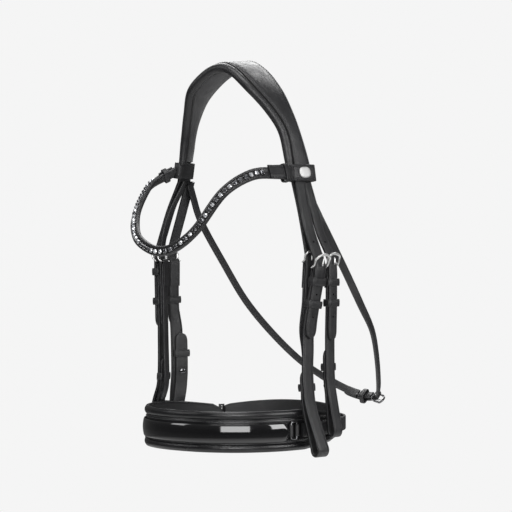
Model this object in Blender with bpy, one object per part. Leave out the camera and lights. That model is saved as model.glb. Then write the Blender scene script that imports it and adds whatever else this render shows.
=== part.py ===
"""Snaffle bridle: headpiece, browband, cheekpieces, noseband with its hangers, and throatlash.

Metres, +Z up. The horse faces -Y and its near (left) side is +X. The origin is the underside of the poll pad,
where the horse's poll carries the bridle. Routes below are written in millimetres.
"""

import math

import bpy
from mathutils import Vector

MM = 0.001
NEAR = 1
OFF = -1
SIDE_NAMES = {NEAR: "near", OFF: "off"}
Z_AXIS = Vector((0, 0, 1))

# Driving sizes, in mm
GAP = 0.35
CHEEK_WIDTH = 16.0
HANGER_WIDTH = 13.5
FRONT_HANGER_WIDTH = 12.0
THROAT_WIDTH = 9.5
STRAP_THICKNESS = 2.9
LAYER_STEP = STRAP_THICKNESS + GAP
BROWBAND_WIDTH = 15.0
BROWBAND_MIDDLE_WIDTH = 11.0
BROWBAND_OFF_WIDTH = 11.5
BROWBAND_THICKNESS = 4.4
KEEPER_HEIGHT = 8.0
KEEPER_WALL = 1.5
UPPER_KEEPER_Z = {1: -226.0, -1: -217.0}
WIRE_RADIUS = 1.2
CHEEK_BUCKLE_HEIGHT = 14.0
HANGER_BUCKLE_HEIGHT = 13.0
FRONT_BUCKLE_HEIGHT = 12.0
HEADPIECE_THICKNESS = 4.0
POLL_PAD_THICKNESS = 11.5
NOSEBAND_HALF_WIDTH = 100.0
NOSEBAND_HALF_LENGTH = 114.0
NOSEBAND_CENTRE_Y = 8.0
NOSEBAND_MIDDLE_Z = -383.0
NOSEBAND_HEIGHT = 44.0
NOSEBAND_THICKNESS = 8.0
PATENT_HEIGHT = 19.0
PATENT_THICKNESS = 3.0
FACING_CHEEK = 10.0
FACING_FRONT = 16.0
FACING_HANGER = {1: 8.0, -1: -12.0}
OFF_LIFT = 8.0
LOOP_OPENS_Z = -345.0
CHEEK_LOOP_OPENING = 10.8
HANGER_LOOP_OPENING = 8.6
LOOP_Z = {1: -112.0, -1: -106.0}
LOOP_HALF_DEPTH = 4.4
PAD_END_X = 76.0
CRYSTAL_DROP = 0.6
CRYSTAL_WIDTH = 6.2
CRYSTAL_DEPTH = 2.0
CRYSTAL_SPAN = (0.138, 0.93)
THROAT_TURN = 32.0
THROAT_THICKNESS = 2.7
FRONT_THICKNESS = 2.3
BILLET_TIP = 11.0
TONGUE_RADIUS = 0.95
TONGUE_START = 1.9
NOSEBAND_POWER = 2.25
PAD_JOIN_ANGLE = 31.0
RING_ANGLE = {1: -16.8, -1: -163.2}
CHIN_STRAP_WIDTH = 15.0
CHIN_STRAP_THICKNESS = 2.8
CHIN_PAD_HEIGHT = 38.0
CHIN_PAD_THICKNESS = 6.4
CHIN_BUCKLE_ANGLE = 90.0
CHIN_KEEPER_ANGLE = 105.0

# Edges of the headpiece on the near side, from the poll down to the browband
HEADPIECE_FRONT = [
    (0, -36, 9), (20, -37, 3), (43, -37, -16), (61, -23, -42), (72, -14, -66), (78, -12, -96), (83, -12, -125),
]
HEADPIECE_REAR = [
    (0, 17, 15), (27, 13, 4), (52, 8, -19), (67, 7, -43), (76, 9, -66), (83, 14, -95), (88, 18, -125),
]

# Strap routes from the headpiece down, with the off side written as if it were on the near side
CHEEK_TOP = {
    1: [(86.5, -4, -127), (92, -6, -147), (98, -6.5, -169), (106.2, -5.6, -191), (110.8, -5.2, -203)],
    -1: [(86.5, -4, -127), (95, -6, -147), (101.5, -9, -170), (107.5, -12, -194)],
}
CHEEK_ROUTE = {
    1: [
        (110, -5.5, -215), (105, -8, -246), (101.5, -11, -278), (102, -12.5, -299), (102.5, -14, -320),
        (104.5, -15, -341), (108.5, -15, -362), (122, -12, -403),
    ],
    -1: [
        (104, -13, -208), (102.5, -14, -231), (100.5, -15, -277), (101, -15, -336), (108.5, -15, -362),
        (122, -12, -403),
    ],
}
HANGER_TOP = {
    1: [(85, 11, -127), (90.5, 13.5, -148), (98.8, 14.8, -175), (110.6, 15.9, -199)],
    -1: [(85, 11, -127), (97, 14, -154), (112, 16.5, -192)],
}
HANGER_START = {1: (110, 17, -213), -1: (110, 17, -208)}
HANGER_ROUTE = [(110, 17, -248), (108.5, 18, -290), (108.5, 19, -330), (111, 20, -352), (115.5, 23, -385)]
FRONT_TOP = {
    1: [(82, -5, -127.4), (88, -6, -147), (92.3, -5, -169), (96.5, -4, -194)],
    -1: [(82, -5, -127.6), (88.5, -11.9, -147), (92, -18.6, -169), (94, -22, -193)],
}
FRONT_ROUTE = {
    1: [
        (95.4, -3, -209), (94.3, -3.5, -230), (93.6, -4, -250), (91, -5, -277), (91, -1, -300), (91.3, 1, -330),
        (91.5, -1, -345), (93, -5, -358),
    ],
    -1: [
        (91, -22, -208), (90.5, -22, -231), (89.5, -22, -262), (88.5, -22, -300), (87.5, -22, -330),
        (88.5, -22, -345), (93, -22, -358),
    ],
}

# (share of the browband's length, degrees that its face turns upwards)
BROWBAND_TILT = ((0.0, 0.0), (0.1, 25.0), (0.4, 25.0), (0.47, 6.0), (0.58, 6.0), (0.7, 44.0), (0.92, 44.0), (1.0, 34.0))

# The throatlash's two strands, and the browband from the near side round the forehead to the off side
THROAT_NEAR = [
    (79.5, 12, -127), (84, 26, -140), (87, 34, -161), (88, 45.5, -179), (89, 59, -197), (89, 78, -220),
    (84, 112, -254), (76, 146, -284), (60, 179, -317), (40, 212, -349), (29, 227, -362),
]
THROAT_OFF = [
    (-79.5, 12, -126), (-83, 33, -160), (-78, 69, -209), (-71, 101, -252), (-61, 138, -290), (-47, 174, -323),
    (-32, 205, -345), (-15, 225, -359), (3, 231, -365), (18, 231, -365),
]
BROWBAND = [
    (83.5, -17.5, -112), (90, -35, -112), (88, -52, -112), (78, -80, -115), (60, -104, -134), (38, -121, -172),
    (17, -130, -190), (-3, -132, -194), (-24, -128, -189), (-46, -118, -178), (-70, -93, -158), (-86, -61, -134),
    (-92, -36, -117), (-83.5, -18.2, -105.5),
]


def clear_scene():
    for obj in list(bpy.data.objects):
        bpy.data.objects.remove(obj)


def material(name, colour, metallic=0.0, roughness=0.5):
    found = bpy.data.materials.get(name)
    if found:
        return found
    made = bpy.data.materials.new(name)
    made.use_nodes = True
    shader = made.node_tree.nodes["Principled BSDF"]
    shader.inputs["Base Color"].default_value = (*colour, 1.0)
    shader.inputs["Metallic"].default_value = metallic
    shader.inputs["Roughness"].default_value = roughness
    return made


def black_leather():
    return material("black_leather", (0.02, 0.02, 0.022), 0.0, 0.5)


def patent_leather():
    return material("patent_leather", (0.008, 0.008, 0.009), 0.0, 0.06)


def soft_lining():
    return material("soft_lining", (0.05, 0.05, 0.055), 0.0, 0.85)


def silver_metal():
    return material("silver_metal", (0.8, 0.8, 0.78), 1.0, 0.2)


def crystal():
    return material("crystal", (0.75, 0.77, 0.8), 0.0, 0.08)


def on_side(points, side):
    return [Vector((side * x, y, z)) for x, y, z in points]


def smooth(points, per_span=3):
    """A Catmull-Rom curve through the points."""
    known = [Vector(p) for p in points]
    ends = [2 * known[0] - known[1], *known, 2 * known[-1] - known[-2]]
    out = []
    for i in range(len(known) - 1):
        a, b, c, d = ends[i : i + 4]
        for k in range(per_span):
            t = k / per_span
            square = 2 * a - 5 * b + 4 * c - d
            cube = 3 * b - a - 3 * c + d
            out.append(0.5 * (2 * b + (c - a) * t + square * t * t + cube * t**3))
    out.append(known[-1])
    return out


def lengths(path):
    total = [0.0]
    for a, b in zip(path, path[1:]):
        total.append(total[-1] + (b - a).length)
    return total


def point_at(path, distance):
    """The point and the direction of the path at a distance along it."""
    total = lengths(path)
    for i in range(len(path) - 1):
        if total[i + 1] >= distance:
            step = (distance - total[i]) / (total[i + 1] - total[i])
            return path[i].lerp(path[i + 1], step), (path[i + 1] - path[i]).normalized()
    return path[-1], (path[-1] - path[-2]).normalized()


def point_at_height(path, z):
    """The point and the direction where a falling path first reaches this height."""
    for a, b in zip(path, path[1:]):
        if a.z >= z >= b.z:
            return a.lerp(b, (a.z - z) / (a.z - b.z)), (b - a).normalized()
    return path[-1], (path[-1] - path[-2]).normalized()


def facing(side, degrees):
    """(width direction, outward normal) of a hanging strap whose face turns towards the front by these degrees."""
    turn = math.radians(degrees)
    normal = Vector((side * math.cos(turn), -math.sin(turn), 0))
    return Vector((side * math.sin(turn), math.cos(turn), 0)), normal


def tangents(path, closed=False):
    count = len(path)
    out = []
    for i in range(count):
        before = path[(i - 1) % count] if closed or i > 0 else path[0]
        after = path[(i + 1) % count] if closed or i < count - 1 else path[-1]
        out.append((after - before).normalized())
    return out


def band_ring(centre, across, through, half_width, half_thickness):
    """A rectangle with cut corners."""
    cut = min(half_width, half_thickness) * 0.55
    corners = []
    for u, v in ((1, 1), (-1, 1), (-1, -1), (1, -1)):
        long_first = (half_width * u, (half_thickness - cut) * v)
        short_first = ((half_width - cut) * u, half_thickness * v)
        corners += [long_first, short_first] if u == v else [short_first, long_first]
    return [centre + across * u + through * v for u, v in corners]


def round_ring(centre, across, through, radius, sides=6):
    out = []
    for k in range(sides):
        angle = 2 * math.pi * k / sides
        out.append(centre + across * (radius * math.cos(angle)) + through * (radius * math.sin(angle)))
    return out


def loft(name, rings, surface, closed=False, pivot=(0, 0, 0)):
    """One closed body through a row of rings, its origin at the pivot."""
    count = len(rings[0])
    origin = Vector(pivot)
    points = [(p - origin) * MM for ring in rings for p in ring]
    faces = []
    spans = len(rings) if closed else len(rings) - 1
    for i in range(spans):
        here = i * count
        there = ((i + 1) % len(rings)) * count
        for k in range(count):
            after = (k + 1) % count
            faces.append((here + k, here + after, there + after, there + k))
    if not closed:
        faces.append(tuple(reversed(range(count))))
        faces.append(tuple(range((len(rings) - 1) * count, len(rings) * count)))
    mesh = bpy.data.meshes.new(name)
    mesh.from_pydata(points, [], faces)
    mesh.materials.append(surface)
    mesh.update()
    if signed_volume(mesh) < 0:
        mesh.flip_normals()
    obj = bpy.data.objects.new(name, mesh)
    obj.location = origin * MM
    bpy.context.scene.collection.objects.link(obj)
    return obj


def signed_volume(mesh):
    mesh.calc_loop_triangles()
    total = 0.0
    for triangle in mesh.loop_triangles:
        a, b, c = (mesh.vertices[i].co for i in triangle.vertices)
        total += a.dot(b.cross(c))
    return total


def strap_rings(path, across, width, thickness=STRAP_THICKNESS, tip=0.0, closed=False):
    """Rings of a flat strap. The last stretch narrows to a point when tip is above 0."""
    rings = []
    total = lengths(path)
    for i, tangent in enumerate(tangents(path, closed)):
        wide = across[i] if isinstance(across, list) else across
        through = tangent.cross(wide).normalized()
        wide = through.cross(tangent).normalized()
        left = total[-1] - total[i]
        share = 1.0
        if tip > 0 and left < tip:
            share = 0.32 + 0.68 * math.sqrt(max(0.0, 1 - (1 - left / tip) ** 2))
        rings.append(band_ring(path[i], wide, through, width / 2 * share, thickness / 2))
    return rings


def wire_loop(name, path, across, surface, radius=WIRE_RADIUS, pivot=(0, 0, 0)):
    rings = []
    for i, tangent in enumerate(tangents(path, True)):
        through = tangent.cross(across).normalized()
        side = through.cross(tangent).normalized()
        rings.append(round_ring(path[i], side, through, radius))
    return loft(name, rings, surface, True, pivot)


def oblong(centre, across, through, half_width, half_depth, count=16, power=3.4):
    """A closed path round an oblong with round corners."""
    out = []
    for k in range(count):
        angle = 2 * math.pi * (k + 0.5) / count
        c, s = math.cos(angle), math.sin(angle)
        u = half_width * math.copysign(abs(c) ** (2 / power), c)
        v = half_depth * math.copysign(abs(s) ** (2 / power), s)
        out.append(centre + across * u + through * v)
    return out


def flat_ring(centre, across, through, half_width, half_thickness):
    """A plain rectangle, for bands too thin for cut corners."""
    corners = ((1, 1), (-1, 1), (-1, -1), (1, -1))
    return [centre + across * (half_width * u) + through * (half_thickness * v) for u, v in corners]


def keeper(name, centre, along, across, width, layers, height=KEEPER_HEIGHT):
    """A flat leather loop round this many strap layers."""
    through = along.cross(across).normalized()
    wide = through.cross(along).normalized()
    half_width = width / 2 + GAP + KEEPER_WALL / 2 + 0.25
    stack = layers * STRAP_THICKNESS + (layers - 1) * GAP
    half_depth = stack / 2 + GAP + KEEPER_WALL / 2 + 0.35
    path = oblong(centre, wide, through, half_width, half_depth, 12, 6.0)
    rings = []
    for point, tangent in zip(path, tangents(path, True)):
        rings.append(flat_ring(point, along, tangent.cross(along).normalized(), height / 2, KEEPER_WALL / 2))
    return loft(name, rings, black_leather(), True, centre)


def buckle(name, bar, across, normal, down, width, height, radius=WIRE_RADIUS, step=LAYER_STEP):
    """A half-round frame: its bar under the billet, its legs beside it and its arch over the outside."""
    half = width / 2 + GAP + radius + 0.3
    up = -down
    over = step + STRAP_THICKNESS / 2 + GAP + 0.6 + radius
    path = []
    for k in range(3):
        path.append(bar + across * (half * (k - 1)))
    path.append(bar + across * half + up * (height * 0.2) + normal * (over * 0.55))
    for k in range(7):
        angle = math.pi * k / 6
        rise = height * (0.62 + 0.38 * math.sin(angle))
        depth = over * min(1.0, 0.75 + 0.5 * math.sin(angle))
        path.append(bar + across * (half * math.cos(angle)) + up * rise + normal * depth)
    path.append(bar - across * half + up * (height * 0.2) + normal * (over * 0.55))
    return wire_loop(name, path, normal.cross(across), silver_metal(), radius, bar)


def tongue(name, bar, across, normal, down, height, step=LAYER_STEP, frame_radius=WIRE_RADIUS):
    """The pin that lies on the billet, from its hole up to the arch of the frame."""
    radius = TONGUE_RADIUS
    over = step + STRAP_THICKNESS / 2 + 0.8 + radius
    up = -down
    last = height - 2 * frame_radius - 1.4
    path = [bar + normal * over + up * (TONGUE_START + (last - TONGUE_START) * k / 4) for k in range(5)]
    rings = []
    for i, tangent in enumerate(tangents(path)):
        size = radius if i < 4 else radius * 0.7
        rings.append(round_ring(path[i], across, tangent.cross(across).normalized(), size, 6))
    return loft(name, rings, silver_metal(), False, bar)


def stud(name, centre, axis, down):
    """A flat round hook stud on its stem."""
    across = axis.cross(down).normalized()
    upward = across.cross(axis).normalized()
    profile = ((0.0, 1.6), (1.4, 1.6), (1.6, 3.6), (2.6, 4.0), (3.3, 2.6))
    rings = []
    for step, radius in profile:
        rings.append(round_ring(centre + axis * step, across, upward, radius, 10))
    return loft(name, rings, silver_metal())


def headpiece_sections(per_span=4):
    """(front edge, rear edge, outward normal) across the whole headpiece, from the off side to the near side."""
    edges = []
    for edge in (HEADPIECE_FRONT, HEADPIECE_REAR):
        edges.append(smooth([(-x, y, z) for x, y, z in reversed(edge[1:])] + edge, per_span))
    rows = list(zip(*edges))
    middles = [(f + r) / 2 for f, r in rows]
    out = []
    for (front, rear), tangent in zip(rows, tangents(middles)):
        normal = (rear - front).cross(tangent).normalized()
        if normal.dot(Vector(((front + rear).x, 0, 60)).normalized()) < 0:
            normal = -normal
        out.append((front, rear, normal))
    return out


def headpiece():
    rings = []
    for front, rear, normal in headpiece_sections():
        middle = (front + rear) / 2
        across = (rear - front).normalized()
        centre = middle + normal * (GAP / 2 - 0.3)
        rings.append(band_ring(centre, across, normal, (rear - front).length / 2 - 1.0, HEADPIECE_THICKNESS / 2))
    loft("headpiece", rings, black_leather())


def poll_pad():
    """The soft lining with its thick rolled front edge."""
    rings = []
    sections = [row for row in headpiece_sections() if abs(row[0].x) < PAD_END_X]
    last = len(sections) - 1
    for i, (front, rear, normal) in enumerate(sections):
        share = 1 - abs(2 * i / last - 1)
        depth = 6.5 + (POLL_PAD_THICKNESS - 6.5) * min(1.0, share * 1.6)
        across = (rear - front).normalized()
        width = (rear - front).length
        profile = (
            (-2.5, 0.0), (-1.6, 0.0), (-0.4, 0.0), (width * 0.5, 0.0), (width + 0.5, 0.0), (width + 1.5, -1.2),
            (width, -0.35 * depth), (width * 0.7, -0.55 * depth), (width * 0.3, -0.8 * depth), (3.0, -depth),
            (-2.0, -0.75 * depth), (-3.4, -0.4 * depth),
        )
        rings.append([front + across * u + normal * (v - HEADPIECE_THICKNESS / 2 - GAP) for u, v in profile])
    loft("poll_pad", rings, soft_lining())


def noseband_path(offset, start_degrees, end_degrees, steps, z=NOSEBAND_MIDDLE_Z):
    """Points round the noseband, offset outwards from its inner face. 0 degrees is the near side and -90 the front."""
    out = []
    power = 2 / NOSEBAND_POWER
    for k in range(steps + 1):
        angle = math.radians(start_degrees + (end_degrees - start_degrees) * k / steps)
        c, s = math.cos(angle), math.sin(angle)
        x = (NOSEBAND_HALF_WIDTH + offset) * math.copysign(abs(c) ** power, c)
        y = (NOSEBAND_HALF_LENGTH + offset) * math.copysign(abs(s) ** power, s)
        out.append(Vector((x, NOSEBAND_CENTRE_Y + y, z)))
    return out


def noseband():
    """Padded leather front with an upper and a lower roll, and the raised patent strip on it."""
    inner = -NOSEBAND_THICKNESS
    path = noseband_path(inner / 2, -180 - PAD_JOIN_ANGLE, PAD_JOIN_ANGLE, 38)
    rings = []
    last = len(path) - 1
    for i, tangent in enumerate(tangents(path)):
        out = tangent.cross(Z_AXIS).normalized()
        end = min(i, last - i)
        share = min(1.0, 0.58 + 0.07 * end)
        high = NOSEBAND_HEIGHT / 2 * share
        half = NOSEBAND_THICKNESS / 2
        profile = (
            (high - 2.5, half * 0.5), (high - 5.0, half), (high - 8.0, half * 0.5), (0.0, half * 0.5),
            (8.0 - high, half * 0.5), (5.0 - high, half), (2.5 - high, half * 0.5), (2.5 - high, -half * 0.4),
            (7.0 - high, -half), (0.0, -half), (high - 7.0, -half), (high - 2.5, -half * 0.4),
        )
        rings.append([path[i] + Z_AXIS * u + out * v for u, v in profile])
    loft("noseband_pad", rings, black_leather())
    outside = -NOSEBAND_THICKNESS / 4 + GAP + PATENT_THICKNESS / 2
    strip = noseband_path(outside, -160, -20, 30, NOSEBAND_MIDDLE_Z - 1.5)
    rings = strap_rings(strip, Z_AXIS, PATENT_HEIGHT, PATENT_THICKNESS)
    loft("patent_strip", rings, patent_leather())


def noseband_ring(side):
    """The square ring at the end of the patent strip, which the chin strap passes through."""
    degrees = RING_ANGLE[side]
    outside = -NOSEBAND_THICKNESS / 4 + GAP + PATENT_THICKNESS / 2 + 0.6
    before, centre, after = noseband_path(outside, degrees - 1, degrees + 1, 2)
    along = (after - before).normalized()
    path = oblong(centre, along, Z_AXIS, 4.0, 8.8, 12, 5.0)
    wire_loop("noseband_ring_" + SIDE_NAMES[side], path, along.cross(Z_AXIS), silver_metal(), 1.3)


def chin_strap():
    """The strap from ring to ring behind the jaw, with its pad, buckle, tongue and keeper."""
    outside = -NOSEBAND_THICKNESS / 4 + 3.4
    path = noseband_path(outside, -11.5, 191.5, 30)
    loft("chin_strap", strap_rings(path, Z_AXIS, CHIN_STRAP_WIDTH, CHIN_STRAP_THICKNESS), black_leather())
    pad = noseband_path(-6.4, PAD_JOIN_ANGLE + 2.5, 177.5 - PAD_JOIN_ANGLE, 24)
    rings = []
    last = len(pad) - 1
    for i, tangent in enumerate(tangents(pad)):
        share = 0.68 + 0.32 * math.sin(math.pi * i / last)
        out = tangent.cross(Z_AXIS).normalized()
        rings.append(band_ring(pad[i], Z_AXIS, out, CHIN_PAD_HEIGHT / 2 * share, CHIN_PAD_THICKNESS / 2))
    loft("chin_pad", rings, soft_lining())
    before, bar, after = noseband_path(outside, CHIN_BUCKLE_ANGLE - 1, CHIN_BUCKLE_ANGLE + 1, 2)
    along = (after - before).normalized()
    normal = along.cross(Z_AXIS).normalized()
    if normal.y < 0:
        normal = -normal
    lifted = bar + normal * 3.2
    buckle("chin_buckle", lifted, Z_AXIS, normal, along, CHIN_STRAP_WIDTH + 3.0, 17.0)
    tongue("chin_tongue", lifted, Z_AXIS, normal, along, 17.0)
    before, middle, after = noseband_path(outside, CHIN_KEEPER_ANGLE - 1, CHIN_KEEPER_ANGLE + 1, 2)
    along = (after - before).normalized()
    keeper("chin_keeper", middle, along, Z_AXIS, CHIN_STRAP_WIDTH + 2.0, 1)


def beside(route, normal, from_z, to_z, step, low_step, low_z, count=8):
    """A layer beside the route, further away from it below the height where the loop opens."""
    out = []
    for k in range(count + 1):
        z = from_z + (to_z - from_z) * k / count
        centre, _ = point_at_height(route, z)
        opening = max(0.0, min(1.0, (LOOP_OPENS_Z - z) / (LOOP_OPENS_Z - low_z)))
        out.append(centre + normal * (step + (low_step - step) * opening))
    return out


def billet_path(top, route, normal, tip_z, step):
    """The billet comes down to the buckle and goes on over the outside of the strap."""
    lower = []
    z = route[0].z
    for k in range(5):
        centre, _ = point_at_height(route, z + (tip_z - z) * k / 4)
        lower.append(centre + normal * step)
    return smooth(top + lower)


def hook_loop(route, normal, top_z, low_step, bottom_drop):
    """The strap, its turn at the bottom and the end that comes back up the inside."""
    bottom = route[-1]
    inside = beside(route, -normal, bottom.z, top_z, LAYER_STEP, low_step, bottom.z)
    middle = (bottom + inside[0]) / 2
    turn = []
    for k in range(1, 6):
        angle = math.pi * k / 6
        turn.append(middle + (bottom - middle) * math.cos(angle) - Z_AXIS * (math.sin(angle) * bottom_drop))
    return route + turn + inside


def hung_strap(side, kind, top, route, width, degrees, tip_z, return_z, low_step, thickness, height):
    """A billet, the strap that it holds and its buckle. Gives (route, width direction, outward normal)."""
    label = SIDE_NAMES[side]
    across, normal = facing(side, degrees)
    step = thickness + GAP
    points = smooth(on_side(route, side))
    bar = points[0] + Z_AXIS * 3.4
    down = (points[1] - points[0]).normalized()
    billet = billet_path(on_side(top, side), points, normal, tip_z, step)
    loft(kind + "_billet_" + label, strap_rings(billet, across, width - 1.0, thickness, BILLET_TIP), black_leather())
    path = points if return_z is None else hook_loop(points, normal, return_z, low_step, 7.0)
    loft(kind + "_strap_" + label, strap_rings(path, across, width, thickness), black_leather(), False, bar)
    radius = WIRE_RADIUS if thickness > 2.5 else 1.15
    buckle(kind + "_buckle_" + label, bar, across, normal, down, width, height, radius, step)
    tongue(kind + "_tongue_" + label, bar, across, normal, down, height, step, radius)
    return points, across, normal


def cheekpiece(side):
    label = SIDE_NAMES[side]
    up = OFF_LIFT if side == OFF else 0.0
    route, across, normal = hung_strap(
        side, "cheek", CHEEK_TOP[side], CHEEK_ROUTE[side], CHEEK_WIDTH, FACING_CHEEK, -286.0 + up, -321.0 + up,
        CHEEK_LOOP_OPENING, STRAP_THICKNESS, CHEEK_BUCKLE_HEIGHT,
    )
    for name, z in (("cheek_upper_keeper_", UPPER_KEEPER_Z[side]), ("cheek_running_keeper_", -250.0)):
        centre, along = point_at_height(route, z)
        keeper(name + label, centre + normal * (LAYER_STEP / 2), along, across, CHEEK_WIDTH, 2)
    centre, along = point_at_height(route, -338.0 + up * 0.5)
    keeper("cheek_loop_keeper_" + label, centre - normal * (LAYER_STEP / 2), along, across, CHEEK_WIDTH, 2)
    centre, _ = point_at_height(route, -351.5)
    stud("cheek_stud_" + label, centre - normal * (LAYER_STEP + STRAP_THICKNESS / 2 + 1.7), -normal, -Z_AXIS)


def hanger(side):
    label = SIDE_NAMES[side]
    up = OFF_LIFT if side == OFF else 0.0
    degrees = FACING_HANGER[side]
    route, across, normal = hung_strap(
        side, "hanger", HANGER_TOP[side], [HANGER_START[side], *HANGER_ROUTE], HANGER_WIDTH, degrees, -289.0 + 1.5 * up, -299.0 + 1.5 * up,
        HANGER_LOOP_OPENING, STRAP_THICKNESS, HANGER_BUCKLE_HEIGHT,
    )
    centre, along = point_at_height(route, -249.0)
    keeper("hanger_running_keeper_" + label, centre + normal * (LAYER_STEP / 2), along, across, HANGER_WIDTH, 2)
    centre, along = point_at_height(route, -318.0 + up)
    keeper("hanger_loop_keeper_" + label, centre - normal * (LAYER_STEP / 2), along, across, HANGER_WIDTH, 2)
    centre, _ = point_at_height(route, -338.0 + up)
    stud("hanger_stud_" + label, centre - normal * (LAYER_STEP + STRAP_THICKNESS / 2 + 0.8), -normal, -Z_AXIS)


def front_hanger(side):
    hung_strap(
        side, "front", FRONT_TOP[side], FRONT_ROUTE[side], FRONT_HANGER_WIDTH, FACING_FRONT, -276.0, None,
        0.0, FRONT_THICKNESS, FRONT_BUCKLE_HEIGHT,
    )


def throat_across(path):
    """The throatlash lies flat against the cheeks and turns under the throat."""
    out = []
    for point, tangent in zip(path, tangents(path)):
        lean = min(1.0, abs(tangent.x) * 1.3)
        sideways = Vector((math.copysign(1.0, point.x), 0, 0))
        normal = (sideways * (1 - lean) + Vector((0, 0.55, -0.85)) * lean).normalized()
        out.append(tangent.cross(normal).normalized() * math.copysign(1.0, point.x))
    return out


def throatlash():
    """A strap from each side of the headpiece; they meet at a buckle low on the near side."""
    near = smooth(THROAT_NEAR)
    off = smooth(THROAT_OFF)
    pivot = (0, 20, -127)
    end, along = point_at(off, lengths(off)[-1])
    below = Vector((0, 0.55, -0.85)).normalized()
    tail_bend = [end + along * 10.0 + below * 0.6, end + along * 6.0 + below * 3.4]
    total = lengths(off)[-1]
    tail = []
    wide = throat_across(off)[-3]
    for k in range(6):
        centre, direction = point_at(off, total - 2.0 - k * 7.0)
        outward = direction.cross(wide).normalized()
        outward *= math.copysign(1.0, outward.dot(below))
        tail.append(centre + outward * (THROAT_THICKNESS + GAP + 1.1))
    loop = near[:-2] + smooth([near[-2], near[-1], *tail_bend], 3)[:-1] + tail_bend[-1:] + tail
    rings = strap_rings(loop, throat_across_run(loop), THROAT_WIDTH - 1.0, THROAT_THICKNESS, 8.0)
    loft("throatlash_near", rings, black_leather(), False, pivot)
    rings = strap_rings(off, throat_across(off), THROAT_WIDTH, THROAT_THICKNESS)
    loft("throatlash_off", rings, black_leather(), False, pivot)
    across = throat_across(off)[-1]
    bar = end + along * 2.6
    normal = below
    buckle("throat_buckle", bar, across, normal, -along, THROAT_WIDTH, 12.5, 1.15)
    tongue("throat_tongue", bar + normal * 2.2, across, normal, -along, 12.5, 1.35, 1.15)
    centre, direction = point_at(off, total - 12.0)
    wide = throat_across(off)[-4]
    outward = direction.cross(wide).normalized()
    outward *= math.copysign(1.0, outward.dot(below))
    keeper("throat_keeper", centre + outward * 1.9, direction, wide, THROAT_WIDTH + 0.6, 2.6, 6.0)


def throat_across_run(path):
    """Width directions along the near strand: carried round its turn at the buckle, and turned towards the front."""
    first = throat_across(path[:3])[0]
    run = lengths(path)
    out = []
    for tangent, far in zip(tangents(path), run):
        first = (first - tangent * first.dot(tangent)).normalized()
        rise = min(1.0, max(0.0, (far - 12.0) / 40.0))
        fall = min(1.0, max(0.0, (200.0 - far) / 60.0))
        turn = math.radians(THROAT_TURN * rise * fall)
        out.append((first * math.cos(turn) + tangent.cross(first) * math.sin(turn)).normalized())
    return out


def browband_tilt(share):
    for (a, low), (b, high) in zip(BROWBAND_TILT, BROWBAND_TILT[1:]):
        if a <= share <= b:
            return math.radians(low + (high - low) * (share - a) / (b - a))
    return 0.0


def browband_width(share):
    end = BROWBAND_WIDTH if share < 0.5 else BROWBAND_OFF_WIDTH
    return end + (BROWBAND_MIDDLE_WIDTH - end) * min(1.0, min(share, 1 - share) / 0.25)


def browband_frame(tangent, share):
    """(width direction, outward normal) of the browband, its face turned up by its tilt there."""
    outward = Z_AXIS.cross(tangent).normalized()
    wide = tangent.cross(outward).normalized()
    tilt = browband_tilt(share)
    c, s = math.cos(tilt), math.sin(tilt)
    return wide * c - outward * s, outward * c + wide * s


def browband():
    """The shaped band across the forehead, its row of crystals in a channel, and a folded loop at each end."""
    path = smooth(BROWBAND, 4)
    run = lengths(path)
    total = run[-1]
    rings = []
    for i, tangent in enumerate(tangents(path)):
        width = browband_width(run[i] / total)
        wide, outward = browband_frame(tangent, run[i] / total)
        rings.append(band_ring(path[i], wide, outward, width / 2, BROWBAND_THICKNESS / 2))
    loft("browband", rings, black_leather())
    channel = []
    across = []
    count = 36
    for k in range(count + 1):
        share = CRYSTAL_SPAN[0] + (CRYSTAL_SPAN[1] - CRYSTAL_SPAN[0]) * k / count
        centre, along = point_at(path, total * share)
        wide, outward = browband_frame(along, share)
        channel.append(centre + outward * (BROWBAND_THICKNESS / 2 + GAP + 1.2) - wide * CRYSTAL_DROP)
        across.append(wide)
    loft("crystal_channel", strap_rings(channel, across, CRYSTAL_WIDTH, CRYSTAL_DEPTH), crystal())
    for side in (NEAR, OFF):
        browband_loop(side)


def browband_loop(side):
    sections = [row for row in headpiece_sections() if row[0].x * side > 0]
    front, rear, normal = min(sections, key=lambda row: abs((row[0].z + row[1].z) / 2 - LOOP_Z[side]))
    across = (rear - front).normalized()
    along = across.cross(normal).normalized()
    centre = (front + rear) / 2
    path = oblong(centre, across, normal, (rear - front).length / 2 + 2.4, LOOP_HALF_DEPTH, 20, 5.0)
    rings = strap_rings(path, along, BROWBAND_WIDTH + 3.0, 1.8, 0.0, True)
    loft("browband_loop_" + SIDE_NAMES[side], rings, black_leather(), True)
    if side == NEAR:
        face = centre + normal * (LOOP_HALF_DEPTH + 0.9 + GAP) - across * 1.0
        rings = []
        for step, share in ((0.0, 0.9), (0.5, 1.0), (1.6, 0.96), (2.1, 0.8)):
            rings.append(oblong(face + normal * step, across, along, 8.0 * share, 6.0 * share, 20, 2.6))
        loft("badge_plate", rings, silver_metal())


clear_scene()
headpiece()
poll_pad()
browband()
noseband()
chin_strap()
for each_side in (NEAR, OFF):
    cheekpiece(each_side)
    hanger(each_side)
    front_hanger(each_side)
    noseband_ring(each_side)
throatlash()
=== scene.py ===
"""The snaffle bridle's looks: leather straps, pads, stitches, stones and metal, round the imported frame."""

import math
import random

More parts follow.
